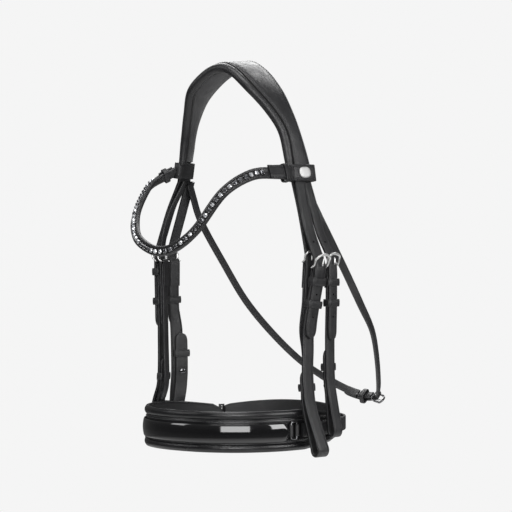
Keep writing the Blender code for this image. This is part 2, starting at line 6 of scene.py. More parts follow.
import bpy
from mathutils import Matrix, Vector

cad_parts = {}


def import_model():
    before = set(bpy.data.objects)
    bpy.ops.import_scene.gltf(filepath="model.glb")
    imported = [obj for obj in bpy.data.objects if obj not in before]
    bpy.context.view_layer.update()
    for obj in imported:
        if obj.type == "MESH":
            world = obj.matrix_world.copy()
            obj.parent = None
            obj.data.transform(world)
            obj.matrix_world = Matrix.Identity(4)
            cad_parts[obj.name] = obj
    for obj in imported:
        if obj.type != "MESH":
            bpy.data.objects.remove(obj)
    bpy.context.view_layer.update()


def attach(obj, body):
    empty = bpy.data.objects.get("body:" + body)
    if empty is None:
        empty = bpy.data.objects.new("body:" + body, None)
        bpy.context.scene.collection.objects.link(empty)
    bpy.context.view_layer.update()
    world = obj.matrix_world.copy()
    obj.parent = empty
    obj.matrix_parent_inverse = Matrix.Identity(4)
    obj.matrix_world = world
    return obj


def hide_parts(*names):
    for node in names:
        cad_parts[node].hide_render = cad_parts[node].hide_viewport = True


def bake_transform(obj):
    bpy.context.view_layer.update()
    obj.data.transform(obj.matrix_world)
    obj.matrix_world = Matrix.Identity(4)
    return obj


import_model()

MM = 0.001
NEAR = 1
OFF = -1
SIDE_NAMES = {NEAR: "near", OFF: "off"}
Z_AXIS = Vector((0, 0, 1))
HEAD = "headpiece_body"
NOSE = "noseband_body"
THROAT = "throatlash_body"

# Sizes of the CAD, in mm and degrees
GAP = 0.35
STRAP_THICKNESS = 2.9
LAYER_STEP = STRAP_THICKNESS + GAP
CHEEK_WIDTH = 16.0
HANGER_WIDTH = 13.5
FRONT_HANGER_WIDTH = 12.0
FRONT_THICKNESS = 2.3
THROAT_WIDTH = 9.5
THROAT_THICKNESS = 2.7
THROAT_TURN = 32.0
FACING_CHEEK = 10.0
FACING_HANGER = {NEAR: 8.0, OFF: -12.0}
FACING_FRONT = 16.0
OFF_LIFT = 8.0
UPPER_KEEPER_Z = {NEAR: -226.0, OFF: -217.0}
CHEEK_Z = {"tip": -286.0, "return": -321.0, "keeper": -250.0, "loop_keeper": -338.0, "stud": -351.5}
HANGER_Z = {"tip": -289.0, "return": -299.0, "keeper": -249.0, "loop_keeper": -318.0, "stud": -338.0}
FRONT_TIP_Z = -276.0
LOOP_OPENS_Z = -345.0
CHEEK_LOOP_OPENING = 10.8
HANGER_LOOP_OPENING = 8.6
LOOP_DROP = 7.0
BILLET_TIP = 11.0
KEEPER_HEIGHT = 8.0
KEEPER_WALL = 1.5
KEEPER_ROOM = GAP + KEEPER_WALL / 2 + 0.25
WIRE_RADIUS = 1.2
SMALL_WIRE_RADIUS = 1.15
TONGUE_RADIUS = 0.95
TONGUE_START = 1.9
CHEEK_BUCKLE_HEIGHT = 14.0
HANGER_BUCKLE_HEIGHT = 13.0
FRONT_BUCKLE_HEIGHT = 12.0
HEADPIECE_THICKNESS = 4.0
POLL_PAD_THICKNESS = 11.5
PAD_END_X = 76.0
LOOP_Z = {NEAR: -112.0, OFF: -106.0}
LOOP_HALF_DEPTH = 4.4
BROWBAND_WIDTH = 15.0
BROWBAND_OFF_WIDTH = 11.5
BROWBAND_MIDDLE_WIDTH = 11.0
BROWBAND_THICKNESS = 4.4
BROWBAND_TILT = (
    (0.0, 0.0), (0.1, 25.0), (0.4, 25.0), (0.47, 6.0), (0.58, 6.0), (0.7, 44.0), (0.92, 44.0),
    (1.0, 34.0),
)
CRYSTAL_DROP = 0.6
CRYSTAL_WIDTH = 6.2
CRYSTAL_SPAN = (0.138, 0.93)
NOSEBAND_HALF_WIDTH = 100.0
NOSEBAND_HALF_LENGTH = 114.0
NOSEBAND_CENTRE_Y = 8.0
NOSEBAND_MIDDLE_Z = -383.0
NOSEBAND_HEIGHT = 44.0
NOSEBAND_THICKNESS = 8.0
NOSEBAND_POWER = 2.25
PAD_JOIN_ANGLE = 31.0
PATENT_HEIGHT = 19.0
PATENT_THICKNESS = 3.0
PATENT_OFFSET = -NOSEBAND_THICKNESS / 4 + GAP + PATENT_THICKNESS / 2
RING_ANGLE = {NEAR: -16.8, OFF: -163.2}
CHIN_STRAP_WIDTH = 15.0
CHIN_STRAP_THICKNESS = 2.8
CHIN_STRAP_OFFSET = -NOSEBAND_THICKNESS / 4 + 3.4
CHIN_BUCKLE_WIDTH = 18.0
CHIN_BUCKLE_HEIGHT = 17.0
CHIN_PAD_HEIGHT = 38.0
CHIN_PAD_THICKNESS = 6.4
CHIN_BUCKLE_ANGLE = 90.0
CHIN_KEEPER_ANGLE = 105.0

# Sizes that only the looks have, in mm and degrees
HEADPIECE_END_Z = -119.5
ROLL_END_Z = {NEAR: -103.5, OFF: -97.5}
ROLL_SHOWS = 3.0
BROWBAND_OFF_END = (-81.0, -14.5, -104.5)
STONE_PITCH = 6.4
STONE_RADIUS = 2.25
STONE_DEPTH = 1.5
FAR_STONES = (0.56, 0.99)
FAR_TURN = 0.35
PIPING_RADIUS = 0.75
FOLD_LENGTH = {NEAR: 43.0, OFF: 17.0}
FOLD_KEEPER_AT = {NEAR: 23.0, OFF: 12.0}
FOLD_HALF_THICKNESS = 1.1
HOLE_Z = (-184.0, -240.0, -264.0)
FOLD_LOW_Z = -233.0
BAR_RISE = 3.4
FOLD_END_Z = -262.0
NEAR_HANGER_KEEPER_Z = -227.0
STUD_SIZE = 0.78
LEAN_START_Z = -258.0
LEAN_TURN = 24.0
LEAN_WIDER = 0.08
LEAN_ASIDE = 1.2
LEAN_SHIFT = 4.6
THROAT_SWELL = 1.26
THROAT_BUCKLE_HEIGHT = 10.8
PUFF_PRESSURE = 4.0
PUFF_FRAMES = 14

# Routes of the CAD, in mm: the edges of the headpiece on the near side, from the poll down to the browband
HEADPIECE_FRONT = [
    (0, -36, 9), (20, -37, 3), (43, -37, -16), (61, -23, -42), (72, -14, -66), (78, -12, -96),
    (83, -12, -125),
]
HEADPIECE_REAR = [
    (0, 17, 15), (27, 13, 4), (52, 8, -19), (67, 7, -43), (76, 9, -66), (83, 14, -95), (88, 18, -125),
]

# Strap routes on the near side, from the headpiece down
CHEEK_TOP = {
    NEAR: [(86.5, -4, -127), (92, -6, -147), (98, -6.5, -169), (106.2, -5.6, -191), (110.8, -5.2, -203)],
    OFF: [(86.5, -4, -127), (95, -6, -147), (101.5, -9, -170), (107.5, -12, -194)],
}
CHEEK_ROUTE = {
    NEAR: [
        (110, -5.5, -215), (105, -8, -246), (101.5, -11, -278), (102, -12.5, -299), (102.5, -14, -320),
        (104.5, -15, -341), (108.5, -15, -362), (122, -12, -403),
    ],
    OFF: [
        (104, -13, -208), (102.5, -14, -231), (100.5, -15, -277), (101, -15, -336), (108.5, -15, -362),
        (122, -12, -403),
    ],
}
HANGER_TOP = {
    NEAR: [(85, 11, -127), (90.5, 13.5, -148), (98.8, 14.8, -175), (110.6, 15.9, -199)],
    OFF: [(85, 11, -127), (97, 14, -154), (112, 16.5, -192)],
}
HANGER_START = {NEAR: (110, 17, -213), OFF: (110, 17, -208)}
HANGER_ROUTE = [(110, 17, -248), (108.5, 18, -290), (108.5, 19, -330), (111, 20, -352), (115.5, 23, -385)]
FRONT_TOP = {
    NEAR: [(82, -5, -127.4), (88, -6, -147), (92.3, -5, -169), (96.5, -4, -194)],
    OFF: [(82, -5, -127.6), (88.5, -11.9, -147), (92, -18.6, -169), (94, -22, -193)],
}
FRONT_ROUTE = {
    NEAR: [
        (95.4, -3, -209), (94.3, -3.5, -230), (93.6, -4, -250), (91, -5, -277), (91, -1, -300),
        (91.3, 1, -330), (91.5, -1, -345), (93, -5, -358),
    ],
    OFF: [
        (91, -22, -208), (90.5, -22, -231), (89.5, -22, -262), (88.5, -22, -300), (87.5, -22, -330),
        (88.5, -22, -345), (93, -22, -358),
    ],
}

# The throatlash's two strands, and the browband from the near side round the forehead to the off side
THROAT_NEAR = [
    (79.5, 12, -127), (82.5, 21.5, -140), (86.5, 32.5, -161), (88, 45.5, -179), (89, 59, -197),
    (89, 78, -220), (84, 112, -254), (76, 146, -284), (60, 179, -317), (40, 212, -349), (29, 227, -362),
]
THROAT_OFF = [
    (-79.5, 12, -126), (-83, 33, -160), (-78, 69, -209), (-71, 101, -252), (-61, 138, -290),
    (-47, 174, -323), (-32, 205, -345), (-15, 225, -359), (3, 231, -365), (18, 231, -365),
]
BROWBAND = [
    (83.5, -17.5, -112), (90, -35, -112), (88, -52, -112), (78, -80, -115), (60, -104, -134),
    (38, -121, -172), (17, -130, -190), (-3, -132, -194), (-24, -128, -189), (-46, -118, -178),
    (-70, -93, -158), (-86, -61, -134), (-92, -36, -117), (-83.5, -18.2, -105.5),
]

# Camera: the photograph's viewing angle
VIEW_AZIMUTH = math.radians(38.0)
VIEW_DISTANCE = 2.0
VIEW_TARGET = Vector((0.0139, 0.0108, -0.199))
VIEW_LENS = 127.83
SENSOR = 36.0
FLOOR_Z = -0.62
FLOOR_RADIUS = 0.85
BACKDROP = 0.913
ROOM_LIGHT = (0.085, 0.27)

# Lights: name, azimuth and elevation in degrees, distance, width and height in m, power in W
LIGHTS = (
    ("top_light", 20.0, 68.0, 1.7, 1.2, 0.9, 22.0),
    ("back_light", 215.0, 38.0, 1.9, 1.4, 0.8, 20.0),
    ("front_window", 38.0, 8.0, 2.2, 1.6, 0.9, 30.0),
    ("side_window", 99.0, 14.0, 2.1, 0.9, 0.9, 19.0),
    ("off_window", -40.0, 22.0, 2.2, 0.5, 0.9, 6.0),
)


# ---------------------------------------------------------------- node helpers


class Nodes:
    """A short way to build a material's node tree."""

    def __init__(self, name):
        self.material = bpy.data.materials.new(name)
        self.material.use_nodes = True
        self.tree = self.material.node_tree
        self.shader = self.tree.nodes["Principled BSDF"]

    def add(self, kind, sockets=None, **settings):
        """A new node, with the values of some sockets by name and its settings."""
        node = self.tree.nodes.new(kind)
        for key, value in settings.items():
            setattr(node, key, value)
        for key, value in (sockets or {}).items():
            node.inputs[key].default_value = value
        return node

    def link(self, source, target):
        self.tree.links.new(source, target)

    def set(self, **values):
        for key, value in values.items():
            self.shader.inputs[key.replace("_", " ")].default_value = value

    def coordinates(self):
        return self.add("ShaderNodeTexCoord").outputs["Object"]

    def noise(self, scale, detail=3.0, roughness=0.55):
        node = self.add("ShaderNodeTexNoise", {"Scale": scale, "Detail": detail, "Roughness": roughness})
        self.link(self.coordinates(), node.inputs["Vector"])
        return node.outputs["Fac"]

    def voronoi(self, scale):
        node = self.add("ShaderNodeTexVoronoi", {"Scale": scale}, feature="F1")
        self.link(self.coordinates(), node.inputs["Vector"])
        return node.outputs["Distance"]

    def spread(self, source, low, high, from_low=0.3, from_high=0.7):
        """The source's range as the range from low to high."""
        limits = {"From Min": from_low, "From Max": from_high, "To Min": low, "To Max": high}
        node = self.add("ShaderNodeMapRange", limits)
        self.link(source, node.inputs["Value"])
        return node.outputs["Result"]

    def colour(self, source, first, second, from_low=0.3, from_high=0.7):
        """The base colour runs from first to second with the source."""
        node = self.add("ShaderNodeMix", data_type="RGBA")
        node.inputs["A"].default_value = (*first, 1.0)
        node.inputs["B"].default_value = (*second, 1.0)
        self.link(self.spread(source, 0.0, 1.0, from_low, from_high), node.inputs["Factor"])
        self.link(node.outputs["Result"], self.shader.inputs["Base Color"])

    def roughness(self, source, low, high):
        self.link(self.spread(source, low, high), self.shader.inputs["Roughness"])

    def total(self, first, second, share):
        """first + second * share"""
        node = self.add("ShaderNodeMath", operation="MULTIPLY_ADD")
        self.link(second, node.inputs[0])
        node.inputs[1].default_value = share
        self.link(first, node.inputs[2])
        return node.outputs[0]

    def bump(self, height, strength, distance):
        node = self.add("ShaderNodeBump", {"Strength": strength, "Distance": distance})
        self.link(height, node.inputs["Height"])
        self.link(node.outputs["Normal"], self.shader.inputs["Normal"])


def leather_material(name, dark, light, rough, grain, depth, sheen=0.0):
    """Grained leather: fine pebbles, soft creases, and colour and gloss that vary over the hide."""
    nodes = Nodes(name)
    cells = nodes.voronoi(grain)
    fine = nodes.noise(grain * 2.2, 2.0)
    broad = nodes.noise(38.0)
    creases = nodes.noise(grain * 0.28, 4.0, 0.7)
    nodes.colour(broad, dark, light)
    nodes.roughness(nodes.noise(90.0, 4.0), *rough)
    nodes.bump(nodes.total(nodes.total(cells, fine, 0.5), creases, 0.8), depth, 0.0003)
    nodes.set(Specular_IOR_Level=0.45, Sheen_Weight=sheen, Sheen_Roughness=0.4)
    return nodes.material


def patent_material():
    nodes = Nodes("patent_leather_gloss")
    nodes.colour(nodes.noise(24.0, 2.0), (0.002, 0.002, 0.0025), (0.004, 0.004, 0.0045))
    nodes.roughness(nodes.noise(60.0, 2.0), 0.05, 0.11)
    nodes.bump(nodes.noise(120.0, 2.0), 0.05, 0.0004)
    nodes.set(Coat_Weight=0.7, Coat_Roughness=0.03, Specular_IOR_Level=0.5)
    return nodes.material


def satin_material():
    """Brushed silver, rough enough to look evenly pale."""
    nodes = Nodes("satin_silver_metal")
    nodes.colour(nodes.noise(90.0), (0.56, 0.56, 0.555), (0.66, 0.66, 0.655))
    nodes.roughness(nodes.noise(500.0), 0.5, 0.62)
    nodes.set(Metallic=0.9)
    return nodes.material


def metal_material():
    nodes = Nodes("polished_silver_metal")
    nodes.colour(nodes.noise(70.0), (0.66, 0.66, 0.66), (0.80, 0.80, 0.79))
    nodes.roughness(nodes.noise(400.0), 0.26, 0.38)
    nodes.bump(nodes.noise(700.0, 2.0), 0.04, 0.0001)
    nodes.set(Metallic=1.0)
    return nodes.material


def stone_material(name, first, second, metallic):
    nodes = Nodes(name)
    nodes.colour(nodes.noise(420.0, 1.0), first, second, 0.42, 0.58)
    nodes.roughness(nodes.noise(900.0, 1.0), 0.03, 0.1)
    nodes.set(Metallic=metallic, Coat_Weight=1.0, Coat_Roughness=0.02)
    return nodes.material


def thread_material():
    nodes = Nodes("waxed_thread")
    twist = nodes.noise(2600.0, 1.0)
    nodes.colour(twist, (0.02, 0.02, 0.021), (0.05, 0.05, 0.052))
    nodes.roughness(twist, 0.4, 0.6)
    nodes.bump(twist, 0.5, 0.0002)
    return nodes.material


LEATHER = leather_material(
    "bridle_leather", (0.008, 0.008, 0.009), (0.020, 0.020, 0.021), (0.34, 0.52), 1500.0, 0.4
)
SOFT_LEATHER = leather_material(
    "soft_padded_leather", (0.008, 0.008, 0.009), (0.018, 0.018, 0.019), (0.26, 0.4), 1100.0, 0.5, 0.03
)
LINING = leather_material(
    "suede_lining", (0.026, 0.026, 0.027), (0.05, 0.05, 0.052), (0.45, 0.65), 2200.0, 0.5, 0.3
)
EDGE = leather_material(
    "painted_leather_edge", (0.006, 0.006, 0.007), (0.012, 0.012, 0.013), (0.3, 0.45), 2600.0, 0.12
)
# A darker, rougher copy of the padded leather: painted shade for the noseband's inner face and the chin pad,
# inside the loop where shade falls.
SHADED_INNER_LEATHER = leather_material(
    "inner_leather_painted_shade", (0.003, 0.003, 0.0035), (0.007, 0.007, 0.008), (0.52, 0.68), 1400.0, 0.4
)
PADDED = leather_material(
    "glossy_padded_leather", (0.004, 0.004, 0.0045), (0.010, 0.010, 0.011), (0.17, 0.28), 1100.0, 0.4
)
PIPING = leather_material(
    "glossy_piping", (0.010, 0.010, 0.011), (0.018, 0.018, 0.019), (0.14, 0.22), 900.0, 0.08
)
# Near-black, matte material: painted shade, laid as a thin tube in the groove at the headpiece's front edge
# where shadow falls.
GROOVE_SHADE = leather_material(
    "painted_groove_shade", (0.001, 0.001, 0.001), (0.002, 0.002, 0.002), (0.75, 0.9), 1500.0, 0.1
)
PATENT = patent_material()
METAL = metal_material()
SATIN = satin_material()
CLEAR_STONE = stone_material("clear_crystal", (0.55, 0.57, 0.6), (0.95, 0.96, 0.98), 0.75)
DARK_STONE = stone_material("smoky_crystal", (0.02, 0.02, 0.024), (0.16, 0.165, 0.18), 0.6)
CHANNEL = stone_material("channel_metal", (0.05, 0.05, 0.055), (0.12, 0.12, 0.125), 0.9)
THREAD = thread_material()


# ---------------------------------------------------------------- paths


def on_side(points, side):
    """Points given for the near side, on this side."""
    return [Vector((side * x, y, z)) for x, y, z in points]


def span(four, steps):
    """Points of a Catmull-Rom curve between the middle two of four points."""
    a, b, c, d = four
    square = 2 * a - 5 * b + 4 * c - d
    cube = 3 * b - a - 3 * c + d
    out = []
    for k in range(steps):
        t = k / steps
        out.append(0.5 * (2 * b + (c - a) * t + square * t * t + cube * t**3))
    return out


def smooth(points, per_span=10):
    """A Catmull-Rom curve through the points."""
    known = [Vector(p) for p in points]
    ends = [2 * known[0] - known[1], *known, 2 * known[-1] - known[-2]]
    out = []
    for i in range(len(known) - 1):
        out += span(ends[i : i + 4], per_span)
    out.append(known[-1])
    return out


def closed_smooth(points, per_span):
    """A Catmull-Rom curve through a closed row of points."""
    count = len(points)
    out = []
    for i in range(count):
        out += span([points[(i + j) % count] for j in (-1, 0, 1, 2)], per_span)
    return out


def circle(centre, first, second, count, start=0.0):
    """Points round an ellipse whose half axes are first and second."""
    out = []
    for k in range(count):
        angle = start + 2 * math.pi * k / count
        out.append(centre + first * math.cos(angle) + second * math.sin(angle))
    return out


def outline(centre, wide, out, profile):
    """A section's (wide, out) pairs as points."""
    return [centre + wide * u + out * v for u, v in profile]


def rows_of(lines):
    """Rows of (point, direction) as rows of (points, directions)."""
    return [([p for p, _ in line], [n for _, n in line]) for line in lines]


def lengths(path):
    """The distance along the path at each of its points."""
    total = [0.0]
    for a, b in zip(path, path[1:]):
        total.append(total[-1] + (b - a).length)
    return total


def point_at(path, distance, run=None):
    """The point and the direction of the path at a distance along it."""
    total = run or lengths(path)
    distance = max(0.0, min(total[-1], distance))
    for i in range(len(path) - 1):
        if total[i + 1] >= distance:
            step = (distance - total[i]) / max(1e-9, total[i + 1] - total[i])
            return path[i].lerp(path[i + 1], step), (path[i + 1] - path[i]).normalized()
    return path[-1], (path[-1] - path[-2]).normalized()


def point_at_height(path, z):
    """The point and the direction where a falling path first reaches this height."""
    for a, b in zip(path, path[1:]):
        if a.z >= z >= b.z and a.z > b.z:
            return a.lerp(b, (a.z - z) / (a.z - b.z)), (b - a).normalized()
    return path[-1], (path[-1] - path[-2]).normalized()


def clamped(share):
    return min(1.0, max(0.0, share))


def eased(share):
    """0 up to 0, 1 from 1, and a smooth step between."""
    share = clamped(share)
    return share * share * (3 - 2 * share)


def facing(side, degrees):
    """(width direction, outward normal) of a hanging strap that is turned to the front by these degrees."""
    turn = math.radians(degrees)
    normal = Vector((side * math.cos(turn), -math.sin(turn), 0))
    return Vector((side * math.sin(turn), math.cos(turn), 0)), normal


def tangents(path, closed=False):
    """The path's direction at each of its points."""
    count = len(path)
    out = []
    for i in range(count):
        before = path[(i - 1) % count] if closed or i > 0 else path[0]
        after = path[(i + 1) % count] if closed or i < count - 1 else path[-1]
        out.append((after - before).normalized())
    return out


def even_steps(path, step):
    """The path again, with points about this far apart."""
    run = lengths(path)
    count = max(2, round(run[-1] / step))
    return [point_at(path, run[-1] * k / count, run)[0] for k in range(count + 1)]


# ---------------------------------------------------------------- meshes


def add_object(name, data):
    obj = bpy.data.objects.new(name, data)
    bpy.context.scene.collection.objects.link(obj)
    return obj


def new_mesh(name, points, faces, surface, face_slots=None, smooth_angle=40.0):
    """An object in the row frame from points in mm. surface is a material or a list of them."""
    mesh = bpy.data.meshes.new(name)
    mesh.from_pydata([p * MM for p in points], [], faces)
    for one in surface if isinstance(surface, list) else [surface]:
        mesh.materials.append(one)
    if face_slots:
        mesh.polygons.foreach_set("material_index", face_slots)
    mesh.update()
    if signed_volume(mesh) < 0:
        mesh.flip_normals()
    mesh.polygons.foreach_set("use_smooth", [True] * len(mesh.polygons))
    mesh.set_sharp_from_angle(angle=math.radians(smooth_angle))
    return add_object(name, mesh)


def signed_volume(mesh):
    mesh.calc_loop_triangles()
    total = 0.0
    for triangle in mesh.loop_triangles:
        a, b, c = (mesh.vertices[i].co for i in triangle.vertices)
        total += a.dot(b.cross(c))
    return total


def loft_data(rings, closed=False, start=0):
    """(points, faces, ring index of each face, place of each face round its ring)."""
    count = len(rings[0])
    points = [p for ring in rings for p in ring]
    faces = []
    places = []
    spans = len(rings) if closed else len(rings) - 1
    for i in range(spans):
        here = start + i * count
        there = start + ((i + 1) % len(rings)) * count
        for k in range(count):
            after = (k + 1) % count
            faces.append((here + k, here + after, there + after, there + k))
            places.append(k)
    if not closed:
        faces.append(tuple(reversed(range(start, start + count))))
        faces.append(tuple(range(start + (len(rings) - 1) * count, start + len(rings) * count)))
        places += [-1, -1]
    return points, faces, places


def loft(name, rings, surface, closed=False, slot_of=None, smooth_angle=40.0):
    """An object through rings of points. slot_of gives a face's material number from its place on a ring."""
    points, faces, places = loft_data(rings, closed)
    slots = [slot_of(k) for k in places] if slot_of else None
    return new_mesh(name, points, faces, surface, slots, smooth_angle)


def loft_many(groups):
    """(points, faces) of several separate lofts."""
    points = []
    faces = []
    for rings in groups:
        more, quads, _ = loft_data(rings, False, len(points))
        points += more
        faces += quads
    return points, faces


def place(obj, body, *nodes, slot="black_leather"):
    """Rides the piece on its body and hides the CAD nodes it stands for. The slot argument is not used."""
    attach(obj, body)
    if nodes:
        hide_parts(*nodes)
    return obj


def strap_profile(half_width, half_thickness, crease=True, crown=0.0):
    """Points round a strap's section as (across, through), edges rounded, a creased line near each edge.

    The first 17 of the 28 points are the face, from the + edge to the - edge."""
    inset = min(1.5, half_width * 0.3)
    dent = 0.22 if crease else 0.0
    h = half_thickness
    w = half_width
    edge = [(w, 0.28 * h), (w - 0.12, 0.62 * h), (w - 0.42, 0.88 * h), (w - 0.85, h * 0.985)]
    line = [(w - inset + 0.25, h), (w - inset, h - dent), (w - inset - 0.25, h)]
    quarter = [*edge, *line, (w * 0.45, h + crown * 0.75), (0.0, h + crown)]
    top = quarter + [(-u, v) for u, v in reversed(quarter[:-1])]
    plain = [(u, -v) for u, v in edge] + [(w * 0.45, -h), (0.0, -h)]
    bottom = [(-u, v) for u, v in plain[:-1]] + list(reversed(plain))
    return top + bottom


def strap_slot(k):
    """Edge paint on the two cut edges and the ends, leather elsewhere."""
    return 1 if k in (-1, 0, 1, 14, 15, 16, 17, 26, 27) else 0


def strap_mesh(name, rings, closed=False):
    """Leather with painted edges, through rings of strap_profile points."""
    return loft(name, rings, [LEATHER, EDGE], closed, strap_slot, 50.0)


def strap_frames(path, across, closed=False):
    """(width direction, outward direction) at each point."""
    out = []
    for i, tangent in enumerate(tangents(path, closed)):
        wide = across[i] if isinstance(across, list) else across
        through = tangent.cross(wide).normalized()
        out.append((through.cross(tangent).normalized(), through))
    return out


def tip_share(left, tip):
    """How much of the full width a pointed strap end still has, this far from its tip."""
    if tip <= 0 or left >= tip:
        return 1.0
    return 0.2 + 0.8 * math.sqrt(max(0.0, 1 - (1 - left / tip) ** 2.2))


def strap_rings(
    path, across, width, thickness, outward=None, tip=0.0, closed=False, crown=0.0, swell=None
):
    """Sections along a path. swell gives (width, thickness) factors from the distance and the length."""
    rings = []
    run = lengths(path)
    for i, (wide, through) in enumerate(strap_frames(path, across, closed)):
        if outward is not None and through.dot(outward) < 0:
            through = -through
        share = tip_share(run[-1] - run[i], tip)
        wider, thicker = swell(run[i], run[-1]) if swell else (1.0, 1.0)
        profile = strap_profile(width / 2 * share * wider, thickness / 2 * thicker, share > 0.8, crown)
        rings.append(outline(path[i], wide, through, profile))
    return rings


# Each ring of a stitch: (share of its length, lift and size as shares of the thread's radius)
STITCH_PROFILE = (
    (-0.5, -0.35, 0.55), (-0.3, 0.35, 1.0), (0.0, 0.6, 1.05), (0.3, 0.35, 1.0), (0.5, -0.35, 0.55),
)


def stitch_points(centre, along, outward, length, radius):
    """One stitch: a short thread that rises from the leather in its middle."""
    side = along.cross(outward).normalized()
    rings = []
    for share, lift, size in STITCH_PROFILE:
        middle = centre + along * (length * share) + outward * (radius * lift)
        rings.append(circle(middle, side * (radius * size), outward * (radius * size), 6))
    return rings


def stitches(name, lines, body, length=2.3, pitch=3.3, radius=0.33):
    """Rows of stitches. Each line is (path, outward direction, or one for each of its points)."""
    made = []
    for path, outward in lines:
        run = lengths(path)
        count = max(1, int(run[-1] / pitch))
        for k in range(count):
            distance = (k + 0.5) * run[-1] / count
            centre, along = point_at(path, distance, run)
            index = min(len(path) - 1, max(0, sum(1 for r in run if r <= distance) - 1))
            up = outward[index] if isinstance(outward, list) else outward
            up = (up - along * up.dot(along)).normalized()
            made.append(stitch_points(centre, along, up, length, radius))
    return place(new_mesh(name, *loft_many(made), THREAD, None, 60.0), body)


def tube(name, path, radius, surface, sides=10, closed=False, up=Z_AXIS):
    """A round bar along a path."""
    rings = []
    for point, tangent in zip(path, tangents(path, closed)):
        side = tangent.cross(up).normalized()
        rings.append(circle(point, side * radius, side.cross(tangent) * radius, sides))
    return loft(name, rings, surface, closed)


def oblong(centre, across, through, half_width, half_depth, count=16, power=3.4):
    """A closed path round an oblong with round corners."""
    out = []
    for k in range(count):
        angle = 2 * math.pi * (k + 0.5) / count
        c, s = math.cos(angle), math.sin(angle)
        u = half_width * math.copysign(abs(c) ** (2 / power), c)
        v = half_depth * math.copysign(abs(s) ** (2 / power), s)
        out.append(centre + across * u + through * v)
    return out


def punch(obj, centres, axis, radius=1.1):
    """Round holes right through a strap."""
    side = axis.orthogonal().normalized()
    other = axis.cross(side)
    holes = []
    for centre in centres:
        ends = (centre - axis * 5.0, centre + axis * 5.0)
        holes.append([circle(end, side * radius, other * radius, 14) for end in ends])
    points, faces = loft_many(holes)
    mesh = bpy.data.meshes.new("punch")
    mesh.from_pydata([p * MM for p in points], [], faces)
    for one in (LEATHER, EDGE):
        mesh.materials.append(one)
    mesh.polygons.foreach_set("material_index", [1] * len(mesh.polygons))
    cutter = add_object("punch", mesh)
    modifier = obj.modifiers.new("holes", "BOOLEAN")
    modifier.operation = "DIFFERENCE"
    modifier.solver = "EXACT"
    modifier.object = cutter
    bake(obj)
    bpy.data.objects.remove(cutter)


def bake(obj):
    """Applies the object's modifiers to its mesh."""
    graph = bpy.context.evaluated_depsgraph_get()
    made = bpy.data.meshes.new_from_object(obj.evaluated_get(graph))
    obj.modifiers.clear()
    obj.data = made


PADS = []
CLOTH = {
    "quality": 6,
    "mass": 0.3,
    "tension_stiffness": 20.0,
    "compression_stiffness": 20.0,
    "bending_stiffness": 0.4,
    "use_pressure": True,
    "uniform_pressure_force": PUFF_PRESSURE,
    "vertex_group_mass": "seams",
}


def to_puff(obj, count, is_seam, cap):
    """Keeps the pad for the cloth simulation.

    Rings hold count points. is_seam(ring, place in it, number of rings) picks the points that stay put, and
    no other point moves more than cap, in mm."""
    total = len(obj.data.vertices)
    held = [i for i in range(total) if is_seam(i // count, i % count, total // count)]
    PADS.append((obj, held, cap))


def puff_pads():
    """Cloth simulation: air swells each pad between its seams."""
    for obj, held, _ in PADS:
        obj.vertex_groups.new(name="seams").add(held, 1.0, "REPLACE")
        cloth = obj.modifiers.new("puff", "CLOTH")
        for key, value in CLOTH.items():
            setattr(cloth.settings, key, value)
        cloth.settings.effector_weights.gravity = 0.0
        cloth.point_cache.frame_start = 1
        cloth.point_cache.frame_end = PUFF_FRAMES
    for number in range(1, PUFF_FRAMES + 1):
        bpy.context.scene.frame_set(number)
    graph = bpy.context.evaluated_depsgraph_get()
    for obj, _, cap in PADS:
        swollen = [v.co.copy() for v in obj.evaluated_get(graph).data.vertices]
        for vertex, there in zip(obj.data.vertices, swollen):
            move = there - vertex.co
            if move.length > cap * MM:
                move *= cap * MM / move.length
            vertex.co += move
        obj.modifiers.clear()
        obj.vertex_groups.clear()
        obj.data.update()
    bpy.context.scene.frame_set(1)


def revolve(name, centre, axis, profile, surface, sides=28):
    """A turned piece: profile holds (distance along the axis, radius)."""
    side = axis.orthogonal().normalized()
    other = axis.cross(side)
    rings = [circle(centre + axis * level, side * size, other * size, sides) for level, size in profile]
    return loft(name, rings, surface, False, None, 35.0)


# ---------------------------------------------------------------- headpiece and poll pad


def headpiece_sections(per_span=10):
    """(front edge, rear edge, outward normal) across the whole headpiece, from the off side."""
    edges = []
    for edge in (HEADPIECE_FRONT, HEADPIECE_REAR):
        edges.append(smooth([(-x, y, z) for x, y, z in reversed(edge[1:])] + edge, per_span))
    rows = list(zip(*edges))
    middles = [(f + r) / 2 for f, r in rows]
    out = []
    for (front, rear), tangent in zip(rows, tangents(middles)):
        normal = (rear - front).cross(tangent).normalized()
        if normal.dot(Vector(((front + rear).x, 0, 60)).normalized()) < 0:
            normal = -normal
        out.append((front, rear, normal))
    return out


def headpiece():
    """The wide outer leather, a near-black tube of painted shade in the groove at its front edge, and a row
    of stitches near each edge.
    """
    rings = []
    seams = [[], []]
    # piping here holds the path of the near-black painted-shade tube in the front groove.
    piping = []
    top = HEADPIECE_THICKNESS / 2
    for front, rear, normal in headpiece_sections():
        if front.z <= HEADPIECE_END_Z:
            continue
        across = (rear - front).normalized()
        centre = (front + rear) / 2 + normal * (GAP / 2 - 0.3) + across * (ROLL_SHOWS / 2)
        half = (rear - front).length / 2 - 1.0 - ROLL_SHOWS / 2
        rings.append(outline(centre, across, normal, strap_profile(half, top, True, 0.5)))
        seams[0].append((centre - across * (half - 3.6) + normal * (top + 0.1), normal))
        seams[1].append((centre + across * (half - 2.2) + normal * (top + 0.05), normal))
        piping.append(centre - across * (half - 0.1) + normal * (top - 0.9))
    place(strap_mesh("headpiece_leather", rings), HEAD, "headpiece")
    # A near-black tube of painted shade in the groove between the headpiece leather and the roll.
    place(tube("headpiece_groove_shade_tube", piping[4:-4], PIPING_RADIUS, GROOVE_SHADE), HEAD)
    stitches("headpiece_stitching", rows_of(seams), HEAD)


